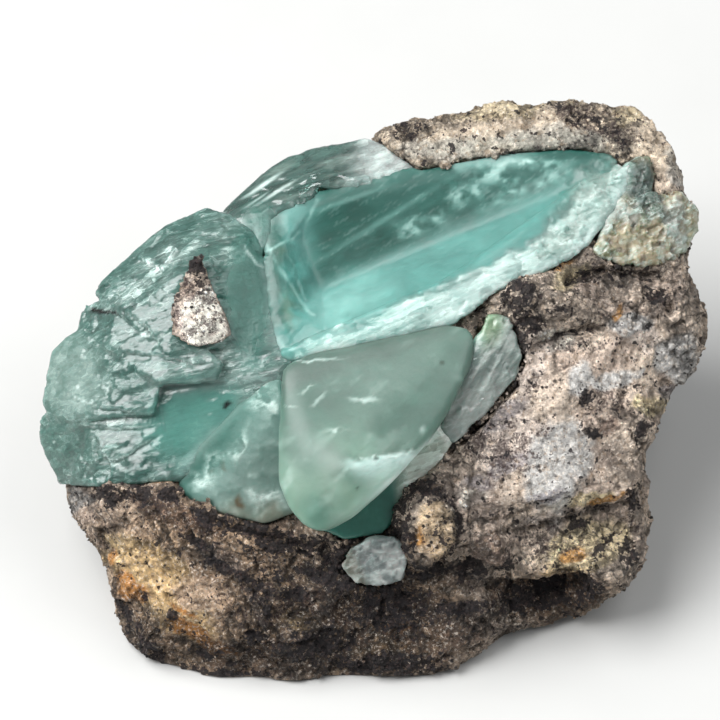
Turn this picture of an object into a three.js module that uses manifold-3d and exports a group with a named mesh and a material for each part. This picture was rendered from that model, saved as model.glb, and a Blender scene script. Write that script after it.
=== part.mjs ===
// Phosphophyllite on matrix: a hand-held mineral specimen about 40 mm wide.
// A lump of speckled rock carries a pocket of blue-green crystals on its sloping display face.
//
// Everything is modelled in the display face's own frame, in millimetres:
//   x runs to the right along the face, y runs up the face, z points out of the face.
// The last group leans that face back, stands the rock on its flat base at z = 0 and centres it.

import * as THREE from 'three';
import { ConvexGeometry } from 'three/addons/geometries/ConvexGeometry.js';
import { ImprovedNoise } from 'three/addons/math/ImprovedNoise.js';
import { mergeVertices } from 'three/addons/utils/BufferGeometryUtils.js';
import Module from 'manifold-3d';

const wasm = await Module();
wasm.setup();

// ---- driving dimensions ------------------------------------------------------------------------

const LEAN_BACK = 50; // degrees that the display face leans back from the vertical
const BASE_OFFSET = 11.25; // height of the face frame's origin above the flat base
const SEAT_GAP = 0.2; // clearance between a crystal and whatever it is seated in
const ROCK_DETAIL = 19; // subdivision of the rock's surface
const HOLLOW_CLEARANCE = 4; // how far a hollow's cut runs on above its rim

// The rock's outline as the display face shows it, clockwise from the lower left.
const ROCK_OUTLINE = [
  [-18.9, -6.0], [-17.6, -3.0], [-16.9, 0.0], [-15.2, 4.4], [-12.2, 8.0], [-9.2, 9.4], [-6.6, 11.0],
  [-3.8, 12.8], [-0.6, 14.2], [0.2, 15.1], [1.2, 15.7], [2.8, 15.9], [3.1, 15.6], [4.4, 15.9],
  [5.8, 16.1], [6.1, 17.0], [7.2, 17.4], [9.4, 17.3], [12.0, 17.4], [13.8, 17.5], [15.4, 18.0],
  [16.6, 17.6], [17.4, 16.3], [17.9, 15.0], [18.8, 14.6], [19.6, 13.7], [19.8, 12.7], [19.4, 11.8],
  [19.7, 10.4], [19.5, 8.6], [18.8, 8.0], [19.4, 6.6], [20.0, 5.2], [20.2, 4.2], [19.8, 2.8],
  [19.7, 1.3], [18.6, 0.6], [17.5, -1.2], [16.4, -2.7], [16.1, -4.4], [16.3, -6.8], [16.2, -9.0],
  [15.4, -11.2], [14.4, -12.2], [13.2, -12.9], [11.6, -13.2], [9.2, -13.8], [7.4, -14.8],
  [5.8, -16.4], [4.2, -17.3], [0.0, -17.7], [-6.0, -17.8], [-12.6, -17.4], [-14.4, -15.4],
  [-15.3, -13.6], [-15.8, -11.6], [-16.3, -10.3], [-17.2, -8.8], [-18.3, -7.6], [-19.1, -6.6],
];

// Heights of the rock's display face above the frame's plane, as x, y, height.
const ROCK_HEIGHTS = [
  // crest of the front wall, under the crystals' lower edge
  [-18.4, -6.6, 0.6], [-15.4, -5.9, 3.2], [-12.4, -6.6, 4.0], [-9.6, -7.8, 4.5], [-6.6, -8.8, 4.6],
  [-3.4, -9.6, 4.0], [0.0, -9.6, 3.6],
  // the front wall itself
  [-16.2, -9.6, 1.3], [-13.4, -9.4, 3.2], [-10.0, -10.6, 4.0], [-6.6, -11.6, 4.0], [-3.0, -12.0, 3.2],
  [-14.8, -12.8, 0.8], [-11.6, -13.4, 2.6], [-8.0, -14.4, 2.8], [-4.0, -14.8, 2.2], [-12.0, -16.4, 0.0],
  [-7.6, -17.0, 0.2], [-2.0, -16.8, 0.0], [2.8, -16.4, 0.4], [1.0, -13.2, 1.4], [4.6, -13.6, 1.8],
  // lower right: the sloping slab and the face under its ledge
  [5.8, -4.6, 4.0], [7.6, -2.6, 3.9], [10.0, -1.0, 3.9], [12.4, -3.4, 3.7], [15.0, -3.6, 2.2],
  [8.4, -6.6, 4.6], [11.6, -6.4, 4.4], [15.2, -6.8, 2.4], [7.4, -11.4, 2.2], [10.4, -10.4, 4.0],
  [13.4, -10.6, 3.0], [15.6, -9.4, 1.4], [11.0, -13.0, -0.8], [7.6, -13.4, 0.6],
  // right wing
  [9.4, 1.6, 4.2], [12.4, 1.0, 3.6], [15.4, 0.2, 2.2], [18.0, 0.8, 0.4], [12.2, 4.4, 3.8],
  [15.0, 4.6, 2.6], [18.2, 4.4, 1.0], [9.6, 5.4, 4.2], [14.2, 7.4, 2.7], [17.2, 7.2, 1.4],
  [19.0, 6.4, 0.0], [16.4, 9.6, 1.0], [18.9, 10.4, -0.2], [18.8, 12.8, -1.2], [17.4, 12.6, -0.2],
  // top rim
  [16.4, 15.4, -1.2], [15.2, 16.9, -2.4], [12.6, 16.2, -0.8], [9.4, 16.6, -1.2], [6.6, 16.2, -1.2],
  [2.0, 15.2, -0.8], [3.6, 14.2, 0.5], [7.6, 15.2, 0.5], [11.6, 15.0, 0.6], [15.4, 14.4, 0.3],
  // hidden floor of the pocket, kept below the crystals' faces
  [-15.0, 1.0, -0.4], [-12.0, 6.0, 0.2], [-8.0, 3.0, 1.2], [-8.4, 8.6, 0.2], [-4.0, 12.4, -1.0],
  [-2.0, 5.0, 1.2], [4.0, 9.0, 0.6], [11.0, 12.6, -0.6], [11.0, 9.4, 1.4], [-8.0, -4.2, 2.8],
  [-2.0, -3.0, 3.0], [2.4, -6.2, 3.0], [6.6, 1.6, 3.6], [-13.6, -3.0, 2.0], [-17.6, -3.6, -0.6],
];

// Ledges: the face drops below the line from one point to the other.
const ROCK_LEDGES = [
  { from: [6.6, -8.5], to: [15.8, -6.6], drop: 1.9, width: 1.3, reach: 3.4 },
  { from: [12.2, 6.3], to: [17.2, 6.9], drop: 0.9, width: 1.2, reach: 1.8 },
  { from: [9.6, 2.3], to: [14.0, 3.6], drop: 0.6, width: 1.2, reach: 1.8 },
  { from: [-16.8, -12.2], to: [-9.4, -15.6], drop: 0.7, width: 1.2, reach: 2.2 },
  { from: [7.4, -11.9], to: [12.2, -11.7], drop: 1.5, width: 1.6, reach: 2.8 },
];

// Nodules that stand out of the rock, as centre and radii.
const ROCK_LUMPS = [
  { at: [3.7, -7.9, 4.3], radii: [2.1, 2.8, 1.7] }, // nodule with a black crust
  { at: [7.3, -9.5, 3.4], radii: [1.4, 1.3, 1.3] },
  { at: [9.5, 5.2, 4.2], radii: [1.5, 1.4, 1.4] }, // dark nodules above the slab
  { at: [11.4, 4.9, 3.9], radii: [1.1, 1.0, 1.1] },
  { at: [9.1, 2.7, 4.2], radii: [0.9, 1.1, 0.9] },
  { at: [18.2, 4.9, 0.8], radii: [1.5, 1.6, 1.3] },
  { at: [18.6, 2.0, 0.0], radii: [1.2, 1.2, 1.3] },
  { at: [18.4, 12.9, -1.0], radii: [1.0, 1.4, 1.2] },
  { at: [18.9, 9.6, -0.4], radii: [0.8, 1.6, 1.2] },
  { at: [15.1, 16.2, -1.8], radii: [1.5, 1.3, 1.4] },
  { at: [7.2, 16.1, -1.3], radii: [1.2, 1.0, 1.2] },
  { at: [1.9, 15.1, -0.9], radii: [1.2, 0.8, 1.0] },
  { at: [5.2, -14.2, 1.0], radii: [2.0, 2.6, 1.4] },
  { at: [14.0, -11.0, 1.6], radii: [1.5, 1.6, 1.3] },
  { at: [-15.0, -7.4, 2.0], radii: [1.9, 1.4, 1.5] },
  { at: [-12.6, -14.6, 1.0], radii: [2.0, 2.0, 1.3] },
];

// Hollows in the rock's display face, as centre and radii.
const ROCK_PITS = [
  { at: [18.0, 4.7, 2.4], radii: [0.8, 0.9, 0.8] },
  { at: [10.0, 4.0, 5.6], radii: [1.1, 0.7, 0.8] },
  { at: [1.2, -12.8, 3.4], radii: [2.4, 1.0, 1.4] },
  { at: [-3.6, -10.0, 5.0], radii: [2.2, 0.8, 0.9] },
];

// Broken flats that trim the sides and back, as an outward direction in the standing frame
// (x right, y back, z up) and the flat's distance from the point above the middle of the base.
const ROCK_FLATS = [
  { facing: [0.0, 1.0, -0.14], reach: 12.8 },
  { facing: [-0.62, 0.78, -0.1], reach: 14.6 },
  { facing: [0.7, 0.62, -0.3], reach: 15.6 },
  { facing: [-0.86, 0.1, -0.5], reach: 12.6 },
  { facing: [0.82, 0.05, -0.55], reach: 13.2 },
];

// Crystal blocks: each is a broken convex block. `face` lists the corners of its front, as x, y, z;
// `depth` is how far it reaches behind them, `narrow` how much smaller its back is, and `hollow`
// the lowest corners and rim of a convex hollow broken into it.
const CRYSTALS = {
  front_crystal: [
    {
      face: [
        [-5.5, 1.2, 5.3], [-4.7, 1.75, 5.0], [0.0, 2.1, 5.2], [2.6, 3.0, 5.0], [4.6, 3.9, 4.6],
        [6.0, 3.7, 4.8], [6.4, 2.9, 5.0], [5.8, 0.8, 5.8], [4.7, -1.5, 6.6], [3.4, -3.4, 7.2],
        [1.0, -6.0, 7.9], [-1.0, -7.8, 8.0], [-2.6, -8.75, 7.9], [-3.8, -8.7, 7.8],
        [-5.0, -7.5, 7.6], [-5.7, -5.8, 7.3], [-5.6, -2.0, 6.4], [-1.4, -4.9, 9.0], [0.6, -0.6, 7.5],
        [-3.6, -3.6, 8.2],
      ],
      depth: 3.4,
      narrow: 0.62,
    },
  ],
  main_crystal: [
    { // the broad glassy body
      face: [
        [-6.2, 10.0, 1.4], [-3.2, 11.7, 0.8], [1.0, 12.4, 0.6], [4.0, 13.2, 0.3], [8.0, 14.0, 0.1],
        [12.0, 14.3, 0.0], [14.4, 14.0, 0.0], [15.3, 13.0, 0.5], [13.0, 10.6, 1.6], [8.6, 8.2, 2.8],
        [5.0, 5.8, 3.5], [1.0, 4.0, 3.9], [-3.0, 2.2, 4.1], [-5.6, 2.1, 3.9], [-6.0, 5.0, 3.4],
        [-6.4, 7.6, 2.6],
      ],
      depth: 5.5,
      narrow: 0.8,
      hollow: [ // the trough between its deep upper facet and its steep, bright lower one
        [-3.0, 5.9, 1.5], [12.2, 12.1, 0.75], [-4.2, 9.0, 1.3],
        [-2.9, 3.2, 4.1], [6.9, 7.3, 3.2], [9.8, 9.1, 2.45], [13.0, 12.0, 1.2], [12.6, 13.9, 0.3],
        [8.0, 13.6, 0.4], [1.0, 12.1, 0.85], [-4.0, 11.0, 1.3], [-5.7, 8.8, 2.35], [-5.2, 4.2, 3.9],
      ],
    },
    { // the splintered ledge along its lower edge, left half
      face: [
        [-5.6, 2.0, 4.5], [-3.2, 2.9, 4.7], [1.0, 4.9, 4.5], [4.6, 6.5, 4.1], [7.4, 7.4, 3.9],
        [6.9, 5.4, 4.4], [5.6, 4.4, 4.7], [2.4, 2.9, 5.0], [0.0, 2.1, 5.1], [-3.4, 1.8, 4.9],
      ],
      depth: 3.0,
      narrow: 0.9,
    },
    { // the splintered ledge, right half, widening to the broken end
      face: [
        [3.0, 5.4, 4.3], [6.0, 7.2, 3.8], [9.4, 9.6, 2.9], [12.6, 12.2, 1.6], [15.4, 13.3, 0.9],
        [15.2, 12.0, 1.4], [13.8, 10.0, 2.3], [13.0, 8.6, 2.9], [11.4, 7.5, 3.5], [9.4, 7.1, 3.9],
        [7.4, 6.4, 4.3], [6.2, 5.2, 4.5],
      ],
      depth: 3.4,
      narrow: 0.85,
    },
  ],
  left_crystals: [
    { // upper slab
      face: [
        [-16.6, 5.6, 0.8], [-16.3, 6.3, 0.7], [-14.2, 8.2, 0.7], [-12.4, 9.7, 0.7], [-10.0, 10.8, 0.6],
        [-8.9, 10.4, 1.2], [-7.6, 9.2, 2.4], [-7.4, 6.0, 3.4], [-8.4, 2.6, 4.2], [-12.2, 2.0, 4.7],
        [-14.9, 4.2, 3.2], [-11.6, 6.6, 4.0],
      ],
      depth: 5.0,
      narrow: 0.8,
    },
    { // middle step under the upper slab
      face: [
        [-17.5, 4.3, 0.6], [-17.3, 4.8, 0.6], [-15.4, 5.6, 2.0], [-12.0, 4.0, 4.3], [-9.0, 1.4, 4.8],
        [-9.4, 0.4, 4.7], [-13.0, 0.3, 4.7], [-15.6, 2.2, 3.2], [-17.7, 3.3, 0.9],
      ],
      depth: 4.0,
      narrow: 0.85,
    },
    { // left lobe
      face: [
        [-17.6, 3.4, 0.9], [-18.5, 2.9, 0.7], [-19.3, 2.1, 0.5], [-19.6, 0.4, 0.4], [-19.8, -1.0, 0.3],
        [-19.3, -2.0, 0.6], [-16.6, -1.9, 3.0], [-13.1, -1.6, 4.3], [-12.7, 0.2, 4.5],
        [-13.8, 2.0, 4.1], [-15.2, 3.4, 3.0],
      ],
      depth: 4.4,
      narrow: 0.85,
    },
    { // lower left toe
      face: [
        [-19.8, -1.7, 0.0], [-20.1, -2.5, -0.2], [-19.9, -3.4, -0.2], [-19.4, -4.6, 0.0],
        [-18.8, -5.8, 0.2], [-16.5, -5.9, 2.4], [-14.2, -5.5, 3.4], [-12.2, -5.6, 3.8],
        [-12.8, -1.2, 3.7], [-17.2, -1.2, 2.3],
      ],
      depth: 3.6,
      narrow: 0.85,
    },
    { // deep, clear floor between the lobe and the milky crystal
      face: [
        [-13.6, 1.6, 3.4], [-8.0, 2.6, 3.8], [-5.9, 0.6, 4.1], [-6.8, -1.2, 4.1], [-9.6, -3.8, 4.0],
        [-12.2, -5.7, 3.8], [-13.8, -4.2, 3.4],
      ],
      depth: 4.6,
      narrow: 0.8,
    },
    { // inner face beside the main crystal
      face: [
        [-8.8, 9.8, 1.6], [-7.2, 9.2, 2.2], [-6.6, 7.6, 2.8], [-6.0, 5.0, 3.4], [-5.2, 2.6, 3.9],
        [-4.6, 1.6, 4.3], [-5.4, 0.4, 4.4], [-8.2, 0.4, 4.0], [-9.2, 4.0, 3.6],
      ],
      depth: 4.6,
      narrow: 0.85,
    },
  ],
  upper_crystals: [
    {
      face: [
        [-9.0, 10.6, 0.0], [-7.6, 11.9, -0.2], [-6.0, 13.3, -0.6], [-5.0, 13.9, -0.8],
        [-3.4, 14.25, -0.8], [-3.0, 12.6, 0.6], [-3.6, 11.7, 1.2], [-6.4, 8.4, 2.1],
        [-7.1, 8.0, 2.5], [-8.2, 10.0, 1.4],
      ],
      depth: 3.6,
      narrow: 0.8,
    },
    {
      face: [
        [-4.0, 14.2, -0.8], [-2.0, 14.65, -0.9], [-0.4, 15.0, -1.1], [0.6, 14.6, -0.7],
        [2.6, 13.2, 0.2], [0.6, 12.5, 0.9], [-3.2, 12.1, 1.1], [-4.2, 12.4, 0.6],
      ],
      depth: 3.2,
      narrow: 0.8,
    },
  ],
  side_crystal: [
    {
      face: [
        [5.0, -3.2, 4.4], [4.3, -2.2, 4.6], [5.4, 0.0, 4.9], [6.5, 2.6, 4.9], [7.0, 4.4, 4.7],
        [8.2, 4.2, 4.5], [9.0, 1.8, 4.3], [8.4, 0.4, 4.3], [7.4, -0.8, 4.2], [6.0, -2.1, 4.1],
      ],
      depth: 3.4,
      narrow: 0.8,
    },
  ],
  milky_crystal: [
    {
      face: [
        [-11.9, -5.3, 4.0], [-9.7, -3.3, 4.5], [-7.6, -1.1, 4.8], [-5.6, 0.4, 4.8],
        [-4.4, -2.0, 4.8], [-4.4, -7.4, 4.9], [-6.4, -8.2, 4.9], [-9.0, -7.6, 4.5],
        [-11.2, -6.6, 4.1],
      ],
      depth: 4.0,
      narrow: 0.8,
    },
  ],
  lower_crystal: [
    {
      face: [
        [-3.6, -8.3, 4.6], [-1.6, -9.1, 4.4], [0.6, -8.7, 4.2], [1.4, -7.8, 4.2], [2.2, -6.0, 4.3],
        [3.6, -4.8, 4.3], [4.8, -3.2, 4.3], [3.6, -1.8, 4.4], [0.0, -4.0, 4.6], [-3.8, -5.6, 4.8],
      ],
      depth: 3.2,
      narrow: 0.8,
    },
  ],
  white_crystal: [
    {
      face: [
        [-1.8, -10.7, 4.0], [-1.2, -9.7, 4.5], [-0.2, -9.2, 4.7], [1.2, -8.95, 4.6],
        [1.9, -9.5, 4.3], [2.1, -10.5, 4.2], [1.8, -11.5, 3.8], [0.4, -11.95, 3.6],
        [-1.0, -11.7, 3.6],
      ],
      depth: 3.0,
      narrow: 0.8,
    },
  ],
  right_crystals: [
    {
      face: [
        [15.5, 13.5, 0.8], [16.6, 13.8, 0.3], [17.0, 12.8, 0.2], [16.9, 11.7, 0.5],
        [15.6, 10.9, 1.4], [14.2, 10.2, 2.0], [15.3, 12.0, 1.4],
      ],
      depth: 3.0,
      narrow: 0.85,
    },
    {
      face: [
        [14.3, 10.3, 1.9], [16.2, 11.5, 1.3], [18.6, 11.6, 0.2], [19.5, 10.7, -0.5],
        [19.6, 9.4, -0.6], [18.8, 8.3, 0.3], [17.2, 7.6, 1.5], [15.0, 7.4, 2.3], [13.4, 8.2, 2.8],
      ],
      depth: 3.0,
      narrow: 0.85,
    },
  ],
};

// The chip of rock that sits on the left crystals' upper slab.
const CHIP_POINTS = [
  [-12.6, 3.9, 4.3], [-12.3, 5.0, 4.6], [-11.4, 6.2, 4.7], [-10.9, 7.6, 4.4], [-10.3, 8.0, 4.1],
  [-9.9, 7.2, 4.3], [-9.3, 5.4, 4.8], [-8.6, 4.2, 4.9], [-8.4, 3.2, 4.9], [-9.2, 2.5, 5.2],
  [-11.0, 2.4, 5.4], [-12.2, 3.1, 5.0], [-11.2, 4.6, 5.7], [-9.8, 3.9, 5.8], [-10.4, 5.6, 5.4],
];
const CHIP_DEPTH = 1.6;

// ---- small tools -------------------------------------------------------------------------------

const noise = new ImprovedNoise();

// Smooth fractal noise between about -1 and 1; `size` is its largest wavelength.
function roughness(x, y, z, size, octaves) {
  let sum = 0;
  let strength = 1;
  let total = 0;
  let scale = 1 / size;
  for (let i = 0; i < octaves; i++) {
    sum += strength * noise.noise(x * scale + 31.7 * i, y * scale + 11.3, z * scale + 5.9);
    total += strength;
    strength *= 0.55;
    scale *= 2.03;
  }
  return (1.6 * sum) / total;
}

function smoothMax(a, b, round) {
  const h = Math.max(round - Math.abs(a - b), 0) / round;
  return Math.max(a, b) + (h * h * round) / 4;
}

const smoothMin = (a, b, round) => -smoothMax(-a, -b, round);

// Signed distance from a point to a closed outline in the plane, negative inside.
function outlineDistance(outline, x, y) {
  let nearest = Infinity;
  let inside = false;
  for (let i = 0, j = outline.length - 1; i < outline.length; j = i++) {
    const [ax, ay] = outline[i];
    const [bx, by] = outline[j];
    const ex = bx - ax;
    const ey = by - ay;
    const along = THREE.MathUtils.clamp(((x - ax) * ex + (y - ay) * ey) / (ex * ex + ey * ey), 0, 1);
    nearest = Math.min(nearest, Math.hypot(x - ax - ex * along, y - ay - ey * along));
    if (ay > y !== by > y && x < ((bx - ax) * (y - ay)) / (by - ay) + ax) inside = !inside;
  }
  return inside ? -nearest : nearest;
}

// Approximate signed distance to an ellipsoid, negative inside.
function ellipsoidDistance({ at, radii }, x, y, z) {
  const px = (x - at[0]) / radii[0];
  const py = (y - at[1]) / radii[1];
  const pz = (z - at[2]) / radii[2];
  return (Math.hypot(px, py, pz) - 1) * Math.min(...radii);
}

// ---- solids ------------------------------------------------------------------------------------

// The same surface with one vertex where several coincide.
function shared(geometry) {
  geometry.deleteAttribute('normal');
  geometry.deleteAttribute('uv');
  return mergeVertices(geometry, 1e-4);
}

function solidFrom(geometry) {
  const merged = shared(geometry);
  return new wasm.Manifold(
    new wasm.Mesh({
      numProp: 3,
      vertProperties: merged.attributes.position.array,
      triVerts: new Uint32Array(merged.index.array),
    }),
  );
}

function geometryFrom(solid) {
  const mesh = solid.getMesh();
  const geometry = new THREE.BufferGeometry();
  geometry.setAttribute('position', new THREE.BufferAttribute(mesh.vertProperties, 3));
  geometry.setIndex(new THREE.BufferAttribute(mesh.triVerts, 1));
  return geometry;
}

const joinAll = (solids) => solids.reduce((whole, solid) => whole.add(solid));
const cutAll = (solid, cutters) => cutters.reduce((left, cutter) => left.subtract(cutter), solid);

// A cut can leave a loose splinter: only the largest body is the piece.
function largestBody(solid) {
  return solid.decompose().reduce((best, body) => (body.volume() > best.volume() ? body : best));
}

// All corners of a crystal block: its front face, and the smaller outline behind it.
function blockCorners({ face, depth, narrow }) {
  const front = face.map((corner) => new THREE.Vector3(...corner));
  const middle = front.reduce((sum, p) => sum.add(p), new THREE.Vector3()).divideScalar(front.length);
  const back = front.map((p) => {
    const q = p.clone().sub(middle).multiplyScalar(narrow).add(middle);
    return q.setZ(q.z - depth);
  });
  return [...front, ...back];
}

const hull = (corners) => solidFrom(new ConvexGeometry(corners));

// A crystal block, less its hollow: the hollow's rim is carried on up, clear of the block.
function blockSolid(block) {
  const whole = hull(blockCorners(block));
  if (!block.hollow) return whole;
  const rim = block.hollow.map((corner) => new THREE.Vector3(...corner));
  const above = rim.map((p) => p.clone().setZ(p.z + HOLLOW_CLEARANCE));
  return whole.subtract(hull([...rim, ...above]));
}

// The same hull grown by the seat gap on every side, for cutting the seat it lies in.
function grownHull(corners) {
  const grown = [];
  for (const p of corners)
    for (const dx of [-SEAT_GAP, SEAT_GAP])
      for (const dy of [-SEAT_GAP, SEAT_GAP])
        for (const dz of [-SEAT_GAP, SEAT_GAP])
          grown.push(new THREE.Vector3(p.x + dx, p.y + dy, p.z + dz));
  return hull(grown);
}

// ---- the rock ----------------------------------------------------------------------------------

const TURN = THREE.MathUtils.degToRad(90 - LEAN_BACK); // turn about x that stands the face up
const SIN = Math.sin(TURN);
const COS = Math.cos(TURN);
const HEIGHT_FALLOFF = 3.6; // how sharply the nearest height wins
const EDGE_ROUND = 1.6; // rounding where the display face turns into the sides
const SWELL = 0.4; // makes up for what the rounding and the evening out take away
const FACE_RELIEF = 0.5; // depth of the lumps and hollows all over the rock
const SIDE_RELIEF = 0.5; // how much deeper they are on the hidden sides
const RELIEF_SIZE = 5.5; // width of the largest of them
const TAPER = 0.3; // how fast the rock narrows behind its display face
const TAPER_START = -2.5;
const UNDER_BASE = -3; // the rough rock runs below the base before it is cut flat

function rockHeight(x, y) {
  let sum = 0;
  let weights = 0;
  for (const [px, py, height] of ROCK_HEIGHTS) {
    const weight = 1 / Math.pow(Math.hypot(x - px, y - py) + 0.3, HEIGHT_FALLOFF);
    sum += weight * height;
    weights += weight;
  }
  let height = sum / weights;
  for (const { from, to, drop, width, reach } of ROCK_LEDGES) {
    const ex = to[0] - from[0];
    const ey = to[1] - from[1];
    const length = Math.hypot(ex, ey);
    const along = ((x - from[0]) * ex + (y - from[1]) * ey) / length;
    const below = ((x - from[0]) * ey - (y - from[1]) * ex) / length;
    const ends = THREE.MathUtils.smoothstep(along, -0.6, 0.6)
      * (1 - THREE.MathUtils.smoothstep(along, length - 0.6, length + 0.6));
    const fade = 1 - THREE.MathUtils.smoothstep(below, reach * 0.5, reach);
    height -= drop * ends * fade * THREE.MathUtils.smoothstep(below, -width / 2, width / 2);
  }
  return height;
}

// Signed distance to the rock, negative inside.
function rockDistance(x, y, z) {
  const back = y * COS - z * SIN;
  const up = y * SIN + z * COS + BASE_OFFSET;
  let d = outlineDistance(ROCK_OUTLINE, x, y) + TAPER * Math.max(0, TAPER_START - z);
  d = smoothMax(d, z - rockHeight(x, y), EDGE_ROUND) - SWELL;
  for (const { facing, reach } of ROCK_FLATS) {
    const [fx, fy, fz] = facing;
    d = smoothMax(d, (x * fx + back * fy + up * fz) / Math.hypot(fx, fy, fz) - reach, 0.8);
  }
  for (const lump of ROCK_LUMPS) d = smoothMin(d, ellipsoidDistance(lump, x, y, z), 0.5);
  for (const pit of ROCK_PITS) d = smoothMax(d, -ellipsoidDistance(pit, x, y, z), 0.4);
  const deepSide = THREE.MathUtils.smoothstep(-z, 2, 6); // the hidden sides are rougher still
  d += (FACE_RELIEF + SIDE_RELIEF * deepSide) * roughness(x, y, z, RELIEF_SIZE, 3);
  return smoothMax(d, UNDER_BASE - up, 0.5);
}

// A flattened ellipsoid lies inside the rock; its surface is pushed out along its normals until it
// meets the rock's surface.
const KERNEL_CENTRE = [0.4, -0.6, -5.0];
const KERNEL_RADII = [15.0, 12.0, 3.6];
const FARTHEST = 34;
const STEP = 0.3;
const RELAXING = 0.45; // share of the way that a vertex moves in one round of evening out

function rockSolid() {
  const sphere = shared(new THREE.IcosahedronGeometry(1, ROCK_DETAIL));
  const position = sphere.attributes.position;
  const direction = new THREE.Vector3();
  const start = new THREE.Vector3();
  const place = (distance) => start.clone().addScaledVector(direction, distance);
  const outside = (distance) => rockDistance(...place(distance).toArray()) > 0;
  for (let i = 0; i < position.count; i++) {
    start.fromBufferAttribute(position, i);
    direction.set(...start.toArray().map((value, axis) => value / KERNEL_RADII[axis])).normalize();
    start.set(...start.toArray().map((value, axis) => value * KERNEL_RADII[axis] + KERNEL_CENTRE[axis]));
    let outer = FARTHEST;
    while (outer > STEP && outside(outer)) outer -= STEP;
    let inner = outer;
    outer += STEP;
    for (let halving = 0; halving < 12; halving++) {
      const middle = (inner + outer) / 2;
      if (outside(middle)) outer = middle;
      else inner = middle;
    }
    position.setXYZ(i, ...place(inner).toArray());
  }
  return solidFrom(relaxed(sphere, 2));
}

// Evens out the mesh: every vertex moves part of the way to the middle of its neighbours.
function relaxed(geometry, rounds) {
  const position = geometry.attributes.position;
  const neighbours = Array.from({ length: position.count }, () => new Set());
  const index = geometry.index.array;
  for (let i = 0; i < index.length; i += 3)
    for (let k = 0; k < 3; k++) neighbours[index[i + k]].add(index[i + ((k + 1) % 3)]);
  const old = new THREE.Vector3();
  for (let round = 0; round < rounds; round++) {
    const before = position.clone();
    for (let i = 0; i < position.count; i++) {
      const middle = new THREE.Vector3();
      for (const j of neighbours[i]) middle.add(old.fromBufferAttribute(before, j));
      middle.divideScalar(neighbours[i].size);
      old.fromBufferAttribute(before, i).lerp(middle, RELAXING);
      position.setXYZ(i, ...old.toArray());
    }
  }
  return geometry;
}

// The half-space below the flat base, as a large slab in the face's frame.
function belowBase() {
  const slab = new THREE.BoxGeometry(120, 120, 40);
  slab.translate(0, 0, -20 - BASE_OFFSET);
  slab.rotateX(-TURN);
  return solidFrom(slab);
}

// ---- the specimen ------------------------------------------------------------------------------

const MATERIALS = {
  matrix: { color: 0xa8947f, roughness: 0.9, metalness: 0 },
  matrix_chip: { color: 0xcdbcae, roughness: 0.9, metalness: 0 },
  main_crystal: { color: 0x5fb3a2, roughness: 0.1, metalness: 0 },
  left_crystals: { color: 0x7dbdaf, roughness: 0.12, metalness: 0 },
  front_crystal: { color: 0x9cc6ae, roughness: 0.15, metalness: 0 },
  upper_crystals: { color: 0xa2bfb8, roughness: 0.08, metalness: 0 },
  side_crystal: { color: 0x9fada6, roughness: 0.35, metalness: 0 },
  milky_crystal: { color: 0x9ccfc4, roughness: 0.35, metalness: 0 },
  lower_crystal: { color: 0x2f7565, roughness: 0.15, metalness: 0 },
  white_crystal: { color: 0xb4bcbb, roughness: 0.45, metalness: 0 },
  right_crystals: { color: 0xa9ae90, roughness: 0.4, metalness: 0 },
};

const specimen = new THREE.Group();

function addPiece(name, solid) {
  const mesh = new THREE.Mesh(geometryFrom(solid), new THREE.MeshStandardMaterial(MATERIALS[name]));
  mesh.name = name;
  specimen.add(mesh);
}

// Crystals come first, in the order that they crowd each other out; the rock takes what is left.
const seats = [];
let leftSeats = [];
for (const [name, blocks] of Object.entries(CRYSTALS)) {
  addPiece(name, largestBody(cutAll(joinAll(blocks.map(blockSolid)), seats)));
  const grown = blocks.map((block) => grownHull(blockCorners(block)));
  if (name === 'left_crystals') leftSeats = grown;
  seats.push(...grown);
}

const chip = hull(blockCorners({ face: CHIP_POINTS, depth: CHIP_DEPTH, narrow: 0.9 }));
addPiece('matrix_chip', largestBody(cutAll(chip, leftSeats)));

addPiece('matrix', largestBody(cutAll(rockSolid(), [belowBase(), ...seats])));

specimen.rotation.x = TURN;
const standing = new THREE.Group();
standing.add(specimen);
standing.updateMatrixWorld(true);
const box = new THREE.Box3().setFromObject(standing, true);
const middle = box.getCenter(new THREE.Vector3());
specimen.position.set(-middle.x, -middle.y, -box.min.z);

export default standing;
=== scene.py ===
"""Looks of the phosphophyllite specimen: glassy blue-green crystals in granular rock.

Lengths are in millimetres in the display face's own frame, unless a name says otherwise: x runs
right along the face, y up the face and z out of it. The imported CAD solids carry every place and
size; each piece here is a refined copy of one of them, with the same outline.
"""

import itertools
import math

import bpy
import bmesh
import numpy as np
from mathutils import Matrix, Vector
from mathutils.bvhtree import BVHTree


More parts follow.
